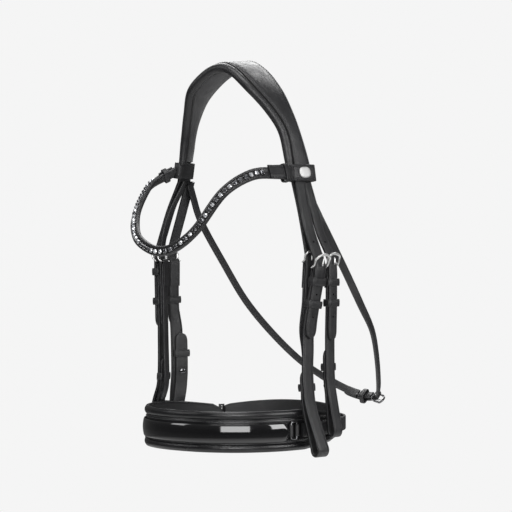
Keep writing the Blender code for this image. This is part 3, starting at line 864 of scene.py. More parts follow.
def headpiece_roll():
    """The padded roll along the headpiece's front edge, down to the browband's loops."""
    sections = []
    for row in headpiece_sections():
        if row[0].z > ROLL_END_Z[OFF if row[0].x < 0 else NEAR]:
            sections.append(row)
    rings = []
    last = len(sections) - 1
    for i, (front, rear, normal) in enumerate(sections):
        across = (rear - front).normalized()
        share = min(1.0, 0.86 + 0.02 * min(i, last - i))
        centre = front + across * 1.5 - normal * (HEADPIECE_THICKNESS / 2 + 1.9)
        rings.append(circle(centre, across * (-5.4 * share), normal * (4.9 * share), 28))
    obj = place(loft("headpiece_roll", rings, SOFT_LEATHER), HEAD)
    to_puff(obj, 28, lambda i, k, total: 2 <= k <= 12 or i in (0, total - 1), 0.7)


def poll_pad():
    """The soft lining under the headpiece, crowned and puffed between its seams."""
    sections = [row for row in headpiece_sections() if abs(row[0].x) < PAD_END_X + 1.5]
    last = len(sections) - 1
    top = HEADPIECE_THICKNESS / 2 + GAP
    count = 16
    rings = []
    for i, (front, rear, normal) in enumerate(sections):
        share = 1 - abs(2 * i / last - 1)
        end = min(1.0, math.sqrt(min(i, last - i) / 5 + 0.08))
        depth = (6.0 + (POLL_PAD_THICKNESS - 6.5) * min(1.0, share * 1.6)) * end
        across = (rear - front).normalized()
        width = (rear - front).length - 3.5
        profile = [(4.5 + width * k / count, -top) for k in range(count + 1)]
        for k in range(1, count):
            turn = k / count
            bulge = math.sin(math.pi * turn) ** 0.55
            profile.append((4.5 + width * (1 - turn), -top - depth * bulge * (0.72 + 0.2 * turn)))
        rings.append(outline(front, across, normal, profile))
    obj = place(loft("poll_pad_lining", rings, LINING), HEAD, "poll_pad", slot="soft_lining")
    to_puff(obj, 32, lambda i, k, total: k <= 16 or i < 2 or i > total - 3 or i % 9 == 0, 1.4)


# ---------------------------------------------------------------- browband


def browband_tilt(share):
    """How far the band's face is turned up, this far along it."""
    for (a, low), (b, high) in zip(BROWBAND_TILT, BROWBAND_TILT[1:]):
        if a <= share <= b:
            return math.radians(low + (high - low) * (share - a) / (b - a))
    return 0.0


def browband_frame(along, share):
    """(outward, downward) directions of the browband, its face turned up by its tilt there."""
    outward = Z_AXIS.cross(along).normalized()
    down = -along.cross(outward).normalized()
    tilt = browband_tilt(share)
    c, s = math.cos(tilt), math.sin(tilt)
    return outward * c - down * s, down * c + outward * s


def browband_frames(count=170):
    """(distance share, centre, direction, outward, downward, width) along the browband, and its length."""
    path = smooth([*BROWBAND[:-1], BROWBAND_OFF_END], 12)
    run = lengths(path)
    total = run[-1]
    out = []
    for k in range(count + 1):
        share = k / count
        centre, along = point_at(path, total * share, run)
        outward, down = browband_frame(along, share)
        edge = min(share, 1 - share)
        end = BROWBAND_WIDTH if share < 0.5 else BROWBAND_OFF_WIDTH
        width = end + (BROWBAND_MIDDLE_WIDTH - end) * min(1.0, edge / 0.25)
        out.append((share, centre, along, outward, down, width))
    return out, total


def browband_profile(half, bed):
    """The padded band's section as (down, out), with a bed for the stones of this depth in its face."""
    h = BROWBAND_THICKNESS / 2
    low = CRYSTAL_DROP + CRYSTAL_WIDTH / 2
    high = CRYSTAL_DROP - CRYSTAL_WIDTH / 2
    return [
        (-half, 0.0), (-half + 0.25, 0.6 * h), (-half + 0.8, 0.95 * h), (-half + 1.5, h + 0.25),
        ((high - half) / 2 - 0.4, h + 0.4), (high - 0.5, h + 0.25), (high, h + 0.1 - bed),
        (CRYSTAL_DROP, h - bed), (low, h + 0.1 - bed), (low + 0.5, h + 0.25),
        ((low + half) / 2 + 0.3, h + 0.4), (half - 1.5, h + 0.25), (half - 0.8, 0.95 * h),
        (half - 0.25, 0.6 * h), (half, 0.0), (half - 0.1, -0.5 * h), (half - 0.6, -0.85 * h),
        (half * 0.5, -h), (0.0, -h - 0.2), (-half * 0.5, -h), (-half + 0.6, -0.85 * h),
        (-half + 0.1, -0.5 * h),
    ]


def browband():
    """The padded band with its stones, its folded ends and its loops."""
    frames, total = browband_frames()
    rings = []
    seams = [[], []]
    for share, centre, _, outward, down, width in frames:
        half = width / 2
        edge = min(share - CRYSTAL_SPAN[0], CRYSTAL_SPAN[1] - share) * total
        bed = 0.8 * max(0.0, min(1.0, (edge + 4.0) / 3.0))
        rings.append(outline(centre, down, outward, browband_profile(half, bed)))
        for line, sign in zip(seams, (-1, 1)):
            spot = centre + down * (sign * (half - 1.3)) + outward * (BROWBAND_THICKNESS / 2 + 0.3)
            line.append((spot, outward))
    edges = (0, 1, 13, 14, 20, 21, -1)
    surfaces = [SOFT_LEATHER, EDGE]
    obj = loft("browband_leather", rings, surfaces, False, lambda k: 1 if k in edges else 0, 60.0)
    place(obj, HEAD, "browband")
    stitches("browband_stitching", rows_of([line[12:-8] for line in seams]), HEAD, 1.7, 2.5, 0.26)
    crystals(frames, total)
    for side in (NEAR, OFF):
        browband_fold(side, frames, total)
        browband_loop(side)


def brilliant(centre, face, along, radius, depth, turn):
    """A cut stone: a flat table, eight crown facets and a girdle."""
    side = face.cross(along).normalized()
    points = []
    for level, size, shift in ((0.0, 0.98, 0.5), (depth * 0.45, 1.0, 0.5), (depth, 0.56, 0.0)):
        girth = radius * size
        points += circle(centre + face * level, along * girth, side * girth, 8, turn + math.pi * shift / 4)
    faces = []
    for k in range(8):
        after = (k + 1) % 8
        faces.append((k, after, 8 + after, 8 + k))
        faces.append((8 + k, 8 + after, 16 + after))
        faces.append((8 + k, 16 + after, 16 + k))
    faces.append(tuple(range(16, 24)))
    faces.append(tuple(reversed(range(8))))
    return points, faces


def gather(name, parts, surfaces, slot, nodes=(), smooth_angle=20.0):
    """One piece of the browband from many (points, faces, material number)."""
    points = []
    faces = []
    numbers = []
    for more, polygons, number in parts:
        start = len(points)
        points += more
        faces += [tuple(i + start for i in face) for face in polygons]
        numbers += [number] * len(polygons)
    place(new_mesh(name, points, faces, surfaces, numbers, smooth_angle), HEAD, *nodes, slot=slot)


# (height, radius) of a cup's rings
CUP_PROFILE = ((-0.3, 2.75), (0.6, 2.85), (1.1, 2.8), (1.4, 2.6), (1.35, 2.4), (1.0, 2.25), (0.6, 2.0))


def setting(centre, face, along):
    """A dark round cup for one stone."""
    side = face.cross(along).normalized()
    rings = []
    for level, size in CUP_PROFILE:
        rings.append(circle(centre + face * level, along * size, side * size, 16))
    points, faces, _ = loft_data(rings)
    return points, faces


def crystals(frames, total):
    """Round stones in dark cups along the browband: mostly smoky ones, with runs of clear ones.

    On the far part of the band they stand out more and are turned up, so they show over its edge."""
    rng = random.Random(11)
    path = [row[1] for row in frames]
    run = lengths(path)
    first, last = (share * total for share in CRYSTAL_SPAN)
    count = int((last - first) / STONE_PITCH)
    stones = []
    cups = []
    claws = []
    for k in range(count + 1):
        distance = first + (last - first) * k / count
        share = distance / total
        centre, along = point_at(path, distance, run)
        outward, down = browband_frame(along, share)
        far = eased((share - FAR_STONES[0]) / 0.1) * eased((FAR_STONES[1] - share) / 0.06)
        upward = outward * math.cos(FAR_TURN * far) - down * math.sin(FAR_TURN * far)
        face = (upward + along * rng.uniform(-0.1, 0.1) + down * rng.uniform(-0.1, 0.1)).normalized()
        base = centre + down * CRYSTAL_DROP + outward * (BROWBAND_THICKNESS / 2 - 0.5)
        base += face * (0.7 * far) - down * (0.8 * far)
        cups.append((*setting(base, face, along), 0))
        clear = rng.random() < 0.32 + 0.3 * math.sin(k * 0.9)
        depth = STONE_DEPTH + 1.1 * far
        stone = brilliant(base + face * 1.0, face, along, STONE_RADIUS, depth, rng.uniform(0, 0.7))
        stones.append((*stone, 0 if clear else 1))
        for spot in circle(base + face * 1.5, along * 2.3, down * 2.3, 4, math.pi / 4):
            claws.append((*brilliant(spot, face, along, 0.38, 0.6, 0.0), 0))
    gather("crystal_cups", cups, [CHANNEL], "silver_metal", (), 30.0)
    gather("crystal_stones", stones, [CLEAR_STONE, DARK_STONE], "crystal", ["crystal_channel"])
    gather("crystal_claws", claws, [METAL], "silver_metal")


def browband_fold(side, frames, total):
    """The end of the browband, folded back from the loop, stitched down and held by a narrow keeper."""
    path = [row[1] for row in frames][::side]
    run = lengths(path)
    half = (BROWBAND_WIDTH if side == NEAR else BROWBAND_OFF_WIDTH) / 2 + 0.4
    profile = strap_profile(half, FOLD_HALF_THICKNESS, True, 0.3)

    def spot(distance):
        centre, along = point_at(path, distance, run)
        share = distance / total if side == NEAR else 1 - distance / total
        return centre, along, *browband_frame(along * side, share)

    rings = []
    lines = [[], []]
    for k in range(31):
        centre, _, outward, down = spot(2.0 + FOLD_LENGTH[side] * k / 30)
        middle = centre + outward * (BROWBAND_THICKNESS / 2 + 0.75)
        rings.append(outline(middle, down, outward, profile))
        face = middle + outward * (FOLD_HALF_THICKNESS + 0.05)
        for line, sign in zip(lines, (-1, 1)):
            line.append((face + down * (sign * (half - 2.4)), outward))
    name = "browband_fold_" + SIDE_NAMES[side]
    place(strap_mesh(name, rings), HEAD)
    stitches(name + "_stitching", rows_of(lines), HEAD, 1.8, 2.7, 0.28)
    centre, along, outward, down = spot(FOLD_KEEPER_AT[side])
    ring = oblong(centre + outward * 1.0, down, outward, half + 1.3, 4.3, 48, 5.0)
    place(strap_mesh(name + "_keeper", strap_rings(ring, along, 6.0, 1.5, closed=True), True), HEAD)


# (height, share of the full size) of the oval plate's rings
BADGE_PROFILE = (
    (-0.2, 0.9), (0.4, 1.0), (1.1, 0.98), (1.45, 0.9), (1.6, 0.75), (1.7, 0.5), (1.75, 0.25),
    (1.76, 0.05),
)


def browband_loop(side):
    """The loop that the headpiece passes through, and the plain oval plate on the near one."""
    sections = [row for row in headpiece_sections(4) if row[0].x * side > 0]
    front, rear, normal = min(sections, key=lambda row: abs((row[0].z + row[1].z) / 2 - LOOP_Z[side]))
    across = (rear - front).normalized()
    along = across.cross(normal).normalized()
    centre = (front + rear) / 2
    half_width = (rear - front).length / 2 + 2.4
    path = oblong(centre, across, normal, half_width, LOOP_HALF_DEPTH, 56, 5.0)
    name = "browband_loop_" + SIDE_NAMES[side]
    rings = strap_rings(path, along, BROWBAND_WIDTH + 3.0, 1.9, closed=True)
    place(strap_mesh(name + "_leather", rings, True), HEAD, name)
    face = centre + normal * (LOOP_HALF_DEPTH + 1.0)
    lines = []
    for sign in (-1, 1):
        edge = face + along * (sign * (BROWBAND_WIDTH / 2 - 0.6))
        lines.append(([edge + across * (half_width * 0.86 * k / 6) for k in range(-6, 7)], normal))
    stitches(name + "_stitching", lines, HEAD, 1.8, 2.7, 0.28)
    if side == NEAR:
        plate = face + normal * (GAP - 0.1) - across * 1.0
        rings = []
        for step, share in BADGE_PROFILE:
            rings.append(oblong(plate + normal * step, across, along, 8.0 * share, 6.0 * share, 40, 2.6))
        place(loft("badge_oval", rings, SATIN), HEAD, "badge_plate", slot="silver_metal")


# ---------------------------------------------------------------- noseband


def noseband_path(offset, start, end, steps, z=NOSEBAND_MIDDLE_Z):
    """Points round the noseband, offset outwards from its inner face. 0 degrees is near, -90 the front."""
    out = []
    power = 2 / NOSEBAND_POWER
    for k in range(steps + 1):
        angle = math.radians(start + (end - start) * k / steps)
        c, s = math.cos(angle), math.sin(angle)
        x = (NOSEBAND_HALF_WIDTH + offset) * math.copysign(abs(c) ** power, c)
        y = (NOSEBAND_HALF_LENGTH + offset) * math.copysign(abs(s) ** power, s)
        out.append(Vector((x, NOSEBAND_CENTRE_Y + y, z)))
    return out


def noseband_spot(offset, degrees):
    """(point, direction, outward direction) on the noseband's outline."""
    before, centre, after = noseband_path(offset, degrees - 1, degrees + 1, 2)
    along = (after - before).normalized()
    return centre, along, along.cross(Z_AXIS).normalized()


def roll_height(u, high):
    """How far the noseband's outer face stands out at this height above its middle."""
    roll = 4.3
    from_roll = abs(abs(u) - (high - roll))
    if from_roll < roll:
        return 0.6 + 3.1 * math.sqrt(1 - (from_roll / roll) ** 2)
    seam = abs(u) - (high - 2 * roll)
    return 1.9 - 1.2 * math.exp(-((seam / 0.9) ** 2))


def noseband_profile(high):
    """The padded front's section as (up, out): its outer face with two rolls, then its inner face."""
    profile = []
    for k in range(41):
        u = high * (1 - 2 * k / 40)
        profile.append((u, roll_height(u, high)))
    for k in range(1, 22):
        u = -high * (1 - 2 * k / 22)
        profile.append((u, 0.4 - 4.2 * (1 - (u / high) ** 2) ** 0.45))
    return profile


def noseband():
    """The padded front with two rolls, its piping and stitches, and the patent strip."""
    path = noseband_path(-NOSEBAND_THICKNESS / 2, -180 - PAD_JOIN_ANGLE, PAD_JOIN_ANGLE, 186)
    rings = []
    last = len(path) - 1
    seams = [[], []]
    piping = [[], [], []]
    for i, tangent in enumerate(tangents(path)):
        out = tangent.cross(Z_AXIS).normalized()
        end = min(i, last - i) / 5
        share = min(1.0, 0.58 + 0.07 * end) * (1.0 if end > 0.8 else 0.75 + 0.31 * end)
        share *= min(1.0, 0.72 + 0.28 * ((last - i) / 14) ** 0.8)
        high = NOSEBAND_HEIGHT / 2 * share - 0.6
        rings.append(outline(path[i], Z_AXIS, out, noseband_profile(high)))
        if 3 < i < last - 3:
            for line, u, v in zip(piping, (high - 8.7, 8.7 - high, high - 0.9), (1.1, 1.1, -1.2)):
                line.append(path[i] + Z_AXIS * u + out * v)
        if 26 < i < last - 26:
            for line, u in zip(seams, (high - 10.9, 10.9 - high)):
                line.append((path[i] + Z_AXIS * u + out * 1.95, out))
    # The inner face takes the darker leather of painted shade.
    obj = loft("noseband_leather", rings, [PADDED, SHADED_INNER_LEATHER], False, lambda k: 1 if k > 41 else 0, 80.0)
    place(obj, NOSE, "noseband_pad")
    to_puff(obj, 62, lambda i, k, total: 8 <= k <= 32 or k in (0, 40) or i < 3 or i > total - 4, 0.9)
    stitches("noseband_stitching", rows_of(seams), NOSE, 2.1, 3.1, 0.32)
    for number, line in enumerate(piping):
        place(tube("noseband_piping_" + str(number), line, PIPING_RADIUS, PIPING), NOSE)
    patent_strip()


def patent_strip():
    """The glossy raised strip, crowned, with round ends."""
    path = noseband_path(PATENT_OFFSET, -160, -20, 150, NOSEBAND_MIDDLE_Z - 1.5)
    run = lengths(path)
    crown = PATENT_THICKNESS / 2 + 0.5
    rings = []
    for i, tangent in enumerate(tangents(path)):
        left = min(1.0, min(run[i], run[-1] - run[i]) / 9.0)
        half = PATENT_HEIGHT / 2 * (0.25 + 0.75 * math.sqrt(max(0.0, 1 - (1 - left) ** 2)))
        profile = []
        for k in range(25):
            turn = math.pi * k / 24
            rise = 0.45 * math.sin(turn) ** 0.3 + 0.55 * math.sin(turn) ** 2
            profile.append((half * math.cos(turn), crown * rise - 0.3))
        profile += [(-half * (1 - k / 3), -1.2) for k in range(1, 6)]
        rings.append(outline(path[i], Z_AXIS, tangent.cross(Z_AXIS).normalized(), profile))
    obj = loft("patent_strip_gloss", rings, PATENT, False, None, 70.0)
    place(obj, NOSE, "patent_strip", slot="patent_leather")


def noseband_ring(side):
    """The square ring, with the leather of the chin strap and of the patent strip's end round its legs."""
    centre, along, _ = noseband_spot(PATENT_OFFSET + 0.6, RING_ANGLE[side])
    path = oblong(centre, along, Z_AXIS, 4.0, 8.8, 48, 5.0)
    name = "noseband_ring_" + SIDE_NAMES[side]
    obj = tube(name + "_metal", path, 1.3, CHANNEL, 14, True, along.cross(Z_AXIS))
    place(obj, NOSE, name, slot="silver_metal")
    for number, sign in enumerate((-1, 1)):
        leg = [centre + along * (3.9 * sign) + Z_AXIS * float(z) for z in range(-6, 7)]
        place(tube(name + "_wrap_" + str(number), leg, 2.3, LEATHER, 20, False, along), NOSE)


def chin_strap():
    """The strap round the back of the jaw, with its pad, tabs, buckle and keeper."""
    path = noseband_path(CHIN_STRAP_OFFSET, -11.5, 191.5, 120)
    rings = strap_rings(path, Z_AXIS, CHIN_STRAP_WIDTH, CHIN_STRAP_THICKNESS)
    place(strap_mesh("chin_strap_leather", rings), NOSE, "chin_strap")
    ends = []
    for start, stop in ((-10.0, 9.0), (171.0, 190.0)):
        piece = noseband_path(CHIN_STRAP_OFFSET + CHIN_STRAP_THICKNESS / 2 + 0.02, start, stop, 14)
        ups = [t.cross(Z_AXIS).normalized() for t in tangents(piece)]
        for shift in (-6.0, 6.0):
            ends.append(([p + Z_AXIS * shift for p in piece], ups))
    stitches("chin_strap_stitching", ends, NOSE, 1.9, 2.9, 0.3)
    chin_pad()
    chin_tab(PAD_JOIN_ANGLE + 1.2, "chin_tab_near", 7.2)
    chin_tab(178.8 - PAD_JOIN_ANGLE, "chin_tab_off", 12.5)
    bar, along, normal = noseband_spot(CHIN_STRAP_OFFSET, CHIN_BUCKLE_ANGLE)
    frame_at = (bar + normal * 3.2, Z_AXIS, normal, along)
    buckle("chin_buckle", *frame_at, CHIN_BUCKLE_WIDTH, CHIN_BUCKLE_HEIGHT, NOSE)
    tongue("chin_tongue", *frame_at, CHIN_BUCKLE_HEIGHT, "chin_tongue_body")
    middle, along, _ = noseband_spot(CHIN_STRAP_OFFSET, CHIN_KEEPER_ANGLE)
    keeper("chin_keeper", middle, along, Z_AXIS, 17.0, 1, NOSE)


RIVET_PROFILE = ((0.0, 0.9), (2.2, 1.0), (2.7, 0.5))


def chin_tab(degrees, name, half):
    """The upright leather tab that closes the gap between the noseband's end and the chin pad."""
    centre, along, out = noseband_spot(-1.6, degrees)
    path = [centre + Z_AXIS * (half * (1 - k / 10)) for k in range(21)]
    place(strap_mesh(name, strap_rings(path, along, 7.0, 2.0, out)), NOSE)
    for number, below in enumerate((5.0, 2.5)):
        head = centre + Z_AXIS * (half - below) + out * 0.8
        rivet = revolve(name + "_rivet_" + str(number), head, -out, RIVET_PROFILE, METAL, 10)
        place(rivet, NOSE, slot="silver_metal")


def chin_pad():
    """A padded leather liner behind the jaw, crowned and gathered towards its round ends."""
    path = noseband_path(-CHIN_PAD_THICKNESS, PAD_JOIN_ANGLE + 8.0, 177.5 - PAD_JOIN_ANGLE, 92)
    rings = []
    last = len(path) - 1
    for i, tangent in enumerate(tangents(path)):
        end = min(1.0, math.sqrt((min(i, last - i) + 0.4) / 4))
        share = (0.68 + 0.32 * math.sin(math.pi * i / last)) * (0.82 + 0.18 * end)
        half = (CHIN_PAD_HEIGHT / 2 - 0.4) * share * min(1.0, 0.6 + 0.4 * i / 14)
        deep = (CHIN_PAD_THICKNESS / 2 - 0.1) * (0.5 + 0.5 * end)
        profile = []
        for k in range(36):
            c, s = math.cos(math.pi * k / 18), math.sin(math.pi * k / 18)
            profile.append((half * math.copysign(abs(c) ** 0.7, c), deep * math.copysign(abs(s) ** 0.8, s)))
        rings.append(outline(path[i], Z_AXIS, tangent.cross(Z_AXIS).normalized(), profile))
    # The chin pad takes the darker leather of painted shade.
    obj = loft("chin_pad_leather", rings, SHADED_INNER_LEATHER, False, None, 80.0)
    place(obj, NOSE, "chin_pad", slot="soft_lining")
    to_puff(obj, 36, lambda i, k, total: k in (0, 1, 17, 18, 19, 35) or i < 3 or i > total - 4, 1.2)


# ---------------------------------------------------------------- buckles, tongues, keepers, studs


def buckle(
    name, bar, across, normal, down, width, height, body, step=LAYER_STEP, radius=WIRE_RADIUS, surface=METAL
):
    """A half-round frame: its bar under the billet, its legs beside it and its arch over the outside."""
    half = width / 2 + GAP + radius + 0.3
    up = -down
    over = step + STRAP_THICKNESS / 2 + GAP + 0.6 + radius
    shoulder = up * (height * 0.2) + normal * (over * 0.55)
    points = [bar + across * (half * k) for k in (-1, 0, 1)]
    points.append(bar + across * half + shoulder)
    for k in range(7):
        angle = math.pi * k / 6
        rise = height * (0.62 + 0.38 * math.sin(angle))
        depth = over * min(1.0, 0.75 + 0.5 * math.sin(angle))
        points.append(bar + across * (half * math.cos(angle)) + up * rise + normal * depth)
    points.append(bar - across * half + shoulder)
    path = closed_smooth(points, 5)
    middle = sum(path, Vector()) / len(path)
    rings = []
    for point, tangent in zip(path, tangents(path, True)):
        outward = point - middle
        side = (outward - tangent * outward.dot(tangent)).normalized()
        lift = clamped((point - bar).dot(up) / (height * 0.5))
        wide = radius * (0.6 + 0.55 * lift)
        deep = radius * (0.6 + 0.35 * lift)
        rings.append(circle(point, side * wide, tangent.cross(side).normalized() * deep, 14))
    place(loft(name + "_metal", rings, surface, True), body, name, slot="silver_metal")


def tongue(name, bar, across, normal, down, height, body, step=LAYER_STEP, frame_radius=WIRE_RADIUS):
    """The pin that lies on the billet, from its hole up to the arch of the frame."""
    over = step + STRAP_THICKNESS / 2 + 0.8 + TONGUE_RADIUS
    last = height - 2 * frame_radius - 1.4
    rings = []
    for k in range(15):
        share = k / 14
        rise = TONGUE_START + (last - TONGUE_START) * share
        point = bar + normal * (over + 0.25 * math.sin(math.pi * share)) - down * rise
        round_end = math.sqrt(max(0.12, min(1.0, 6.0 * (1 - share), 8.0 * share + 0.12)))
        size = TONGUE_RADIUS * (1.08 - 0.35 * share) * round_end
        rings.append(circle(point, across * (size * 1.1), normal * (size * 0.95), 12))
    place(loft(name + "_metal", rings, METAL), body, name, slot="silver_metal")


def band(name, path, along, middle, height, closed, body, nodes):
    """A narrow band of leather round the path, its face turned away from the middle."""
    profile = strap_profile(height / 2, KEEPER_WALL / 2, True, 0.18)
    rings = []
    for point, tangent in zip(path, tangents(path, closed)):
        out = tangent.cross(along).normalized()
        out *= math.copysign(1.0, out.dot(point - middle))
        rings.append(outline(point, along, out, profile))
    place(strap_mesh(name + "_leather", rings, closed), body, *nodes)


def keeper(name, centre, along, across, width, layers, body, height=KEEPER_HEIGHT, extra=False):
    """A leather loop round the layers. An extra one has no CAD piece."""
    through = along.cross(across).normalized()
    wide = through.cross(along).normalized()
    stack = layers * STRAP_THICKNESS + (layers - 1) * GAP
    half_depth = stack / 2 + GAP + KEEPER_WALL / 2 + 0.35
    path = oblong(centre, wide, through, width / 2 + KEEPER_ROOM, half_depth, 52, 6.0)
    band(name, path, along, centre, height, True, body, [] if extra else [name])


def strap_keeper(name, hung, z, width, body, extra=False):
    """The keeper round a hung strap and its billet."""
    route, across, normal = hung
    centre, along = point_at_height(route, z)
    keeper(name, centre + normal * (LAYER_STEP / 2), along, across, width, 2, body, extra=extra)


def loop_keeper(name, hung, z, width, body):
    """The keeper that is stitched to the strap's edges and holds only the end that comes back inside."""
    route, across, normal = hung
    centre, along = point_at_height(route, z)
    wide = (across - along * across.dot(along)).normalized()
    inward = along.cross(wide).normalized()
    inward *= -math.copysign(1.0, inward.dot(normal))
    half = width / 2 + KEEPER_ROOM
    depth = LAYER_STEP + STRAP_THICKNESS / 2 + GAP + KEEPER_WALL / 2 + 0.35
    path = []
    for k in range(41):
        angle = math.pi * k / 40
        u = half * math.copysign(abs(math.cos(angle)) ** 0.3, math.cos(angle))
        v = depth * math.sin(angle) ** 0.3 if 0 < k < 40 else -0.4
        path.append(centre + wide * u + inward * v)
    band(name, path, along, centre + inward * (depth / 2), KEEPER_HEIGHT, False, body, [name])


STUD_PROFILE = (
    (-0.3, 1.5), (0.0, 1.9), (0.4, 1.7), (1.0, 1.45), (1.5, 1.6), (1.7, 3.4), (1.9, 3.8), (2.2, 4.0),
    (2.6, 3.85), (2.95, 3.3), (3.15, 2.4), (3.28, 1.2), (3.3, 0.15),
)


def stud(name, hung, z, proud, body, surface=METAL):
    """A hook stud on the inside of a hung strap's returned end: a waisted stem and a domed head."""
    route, _, normal = hung
    centre, _ = point_at_height(route, z)
    foot = centre - normal * (LAYER_STEP + STRAP_THICKNESS / 2 + proud)
    profile = [(height, radius * STUD_SIZE) for height, radius in STUD_PROFILE]
    place(revolve(name + "_metal", foot, -normal, profile, surface), body, name, slot="silver_metal")


# ---------------------------------------------------------------- hanging straps


def beside(route, normal, top_z, low_step):
    """The layer inside the route, from its bottom up. It stands off further where the loop is open."""
    low_z = route[-1].z
    out = []
    for k in range(25):
        z = low_z + (top_z - low_z) * k / 24
        centre, _ = point_at_height(route, z)
        opening = clamped((LOOP_OPENS_Z - z) / (LOOP_OPENS_Z - low_z))
        out.append(centre - normal * (LAYER_STEP + (low_step - LAYER_STEP) * opening))
    return out


def billet_path(top, route, normal, tip_z, step):
    """The billet comes down to the buckle and goes on over the outside of the strap."""
    lower = []
    z = route[0].z
    for k in range(5):
        centre, _ = point_at_height(route, z + (tip_z - z) * k / 4)
        lower.append(centre + normal * step)
    slope = (top[1] - top[0]).normalized()
    return smooth([top[0] - slope * 13.0] + top + lower)


def hook_loop(route, normal, top_z, low_step):
    """The strap, its turn at the bottom and the end that comes back up the inside."""
    bottom = route[-1]
    inside = beside(route, normal, top_z, low_step)
    middle = (bottom + inside[0]) / 2
    turn = []
    for k in range(1, 14):
        angle = math.pi * k / 14
        turn.append(middle + (bottom - middle) * math.cos(angle) - Z_AXIS * (math.sin(angle) * LOOP_DROP))
    return route + turn + inside


def hang(obj, node):
    """Bakes the hanging strap's place into its mesh and hides the CAD node it stands for."""
    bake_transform(obj)
    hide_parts(node)


def fold_round_bar(bar, route, normal, thickness):
    """The strap's thinned end: up the inside, round the buckle's bar and onto the strap."""
    reach = 1.4 + 0.55
    inside = []
    for k in range(6):
        z = FOLD_LOW_Z + (bar.z - 3.0 - FOLD_LOW_Z) * k / 5
        if z < route[0].z:
            centre, _ = point_at_height(route, z)
        else:
            centre = bar + (route[0] - bar) * ((bar.z - z) / BAR_RISE)
        inside.append(centre - normal * (thickness * 0.5 + 0.65 + 0.1))
    arc = []
    for k in range(9):
        angle = math.pi * (1 - k / 8)
        arc.append(bar + normal * (reach * 0.9 * math.cos(angle)) + Z_AXIS * (reach * math.sin(angle)))
    return inside + arc


def hung_strap(
    side, kind, top, route, width, degrees, tip_z, return_z, low_step, thickness, height, body, tongue_body
):
    """A billet with its holes, the strap that it holds, its buckle and the pin.

    Gives (the strap's route, width direction, outward direction). return_z is the height of the end that
    comes back inside, or None."""
    label = SIDE_NAMES[side]
    across, normal = facing(side, degrees)
    step = thickness + GAP
    knots = on_side(route, side)
    points = smooth(knots)
    bar = knots[0] + Z_AXIS * BAR_RISE
    down = (smooth(knots, 3)[1] - points[0]).normalized()
    billet = even_steps(billet_path(on_side(top, side), points, normal, tip_z, step), 2.2)
    name = kind + "_billet_" + label
    rings = strap_rings(billet, across, width - 1.0, thickness, normal, BILLET_TIP)
    obj = strap_mesh(name + "_leather", rings)
    holes = [point_at_height(billet, z)[0] for z in HOLE_Z if z > tip_z + 8.0]
    punch(obj, holes, normal)
    hang(obj, name)
    path = points if return_z is None else hook_loop(points, normal, return_z, low_step)
    fold = fold_round_bar(bar, points, normal, thickness)
    path = even_steps(fold + path[1:], 1.6)
    bar_at = lengths(fold)[-1] - 3.0

    def thinning(distance, _):
        """The strap is thinner round the bar, and the end that is folded back is thin."""
        thin = 0.42 + 0.58 * clamped((abs(distance - bar_at) - 3.0) / 12.0)
        return 0.97, min(thin, 0.5) if distance < bar_at else thin

    name = kind + "_strap_" + label
    tip = 0.0 if return_z is None else 10.0
    rings = strap_rings(path, across, width, thickness, tip=tip, swell=thinning)
    place(strap_mesh(name + "_leather", rings), body, name)
    wire = (step, WIRE_RADIUS if thickness > 2.5 else SMALL_WIRE_RADIUS)
    buckle(kind + "_buckle_" + label, bar, across, normal, down, width, height, body, *wire)
    tongue(kind + "_tongue_" + label, bar, across, normal, down, height, tongue_body, *wire)
    return points, across, normal


def cheekpiece(side):
    """The strap with the loop for the bit, its billet, buckle, keepers and hook stud."""
    label = SIDE_NAMES[side]
    body = "cheekpiece_" + label
    up = OFF_LIFT if side == OFF else 0.0
    hung = hung_strap(
        side, "cheek", CHEEK_TOP[side], CHEEK_ROUTE[side], CHEEK_WIDTH, FACING_CHEEK, CHEEK_Z["tip"] + up,
        CHEEK_Z["return"] + up, CHEEK_LOOP_OPENING, STRAP_THICKNESS, CHEEK_BUCKLE_HEIGHT, body,
        "cheek_tongue_" + label + "_body",
    )
    running = "cheek_running_keeper_" + label
    strap_keeper("cheek_upper_keeper_" + label, hung, UPPER_KEEPER_Z[side], CHEEK_WIDTH, body)
    strap_keeper(running, hung, CHEEK_Z["keeper"], CHEEK_WIDTH, running + "_body")
    loop_keeper("cheek_loop_keeper_" + label, hung, CHEEK_Z["loop_keeper"] + up * 0.5, CHEEK_WIDTH, body)
    stud("cheek_stud_" + label, hung, CHEEK_Z["stud"], 1.7, body)


def lean(name, hung, whole):
    """Turns a piece of the off hanger towards the front, and its returned end a little to the rear."""
    route, across, normal = hung
    for vertex in bpy.data.objects[name].data.vertices:
        spot = vertex.co / MM
        centre, _ = point_at_height(route, max(route[-1].z, min(route[0].z, spot.z)))
        wide = (spot - centre).dot(across)
        deep = (spot - centre).dot(normal)
        from_end = spot.z - route[-1].z
        turn = eased((LEAN_START_Z - spot.z) / 26.0) * eased(from_end / 30.0)
        wide = wide * (1.0 + LEAN_WIDER * turn) + LEAN_ASIDE * turn
        inner = 1.0 if whole else eased(-deep - 1.2) * (spot.z < FOLD_END_Z)
        wide += LEAN_SHIFT * inner * eased(from_end / 40.0)
        angle = math.radians(LEAN_TURN * turn)
        c, s = math.cos(angle), math.sin(angle)
        moved = across * (wide * c + deep * s) + normal * (deep * c - wide * s)
        vertex.co = (Vector((centre.x, centre.y, spot.z)) + moved) * MM


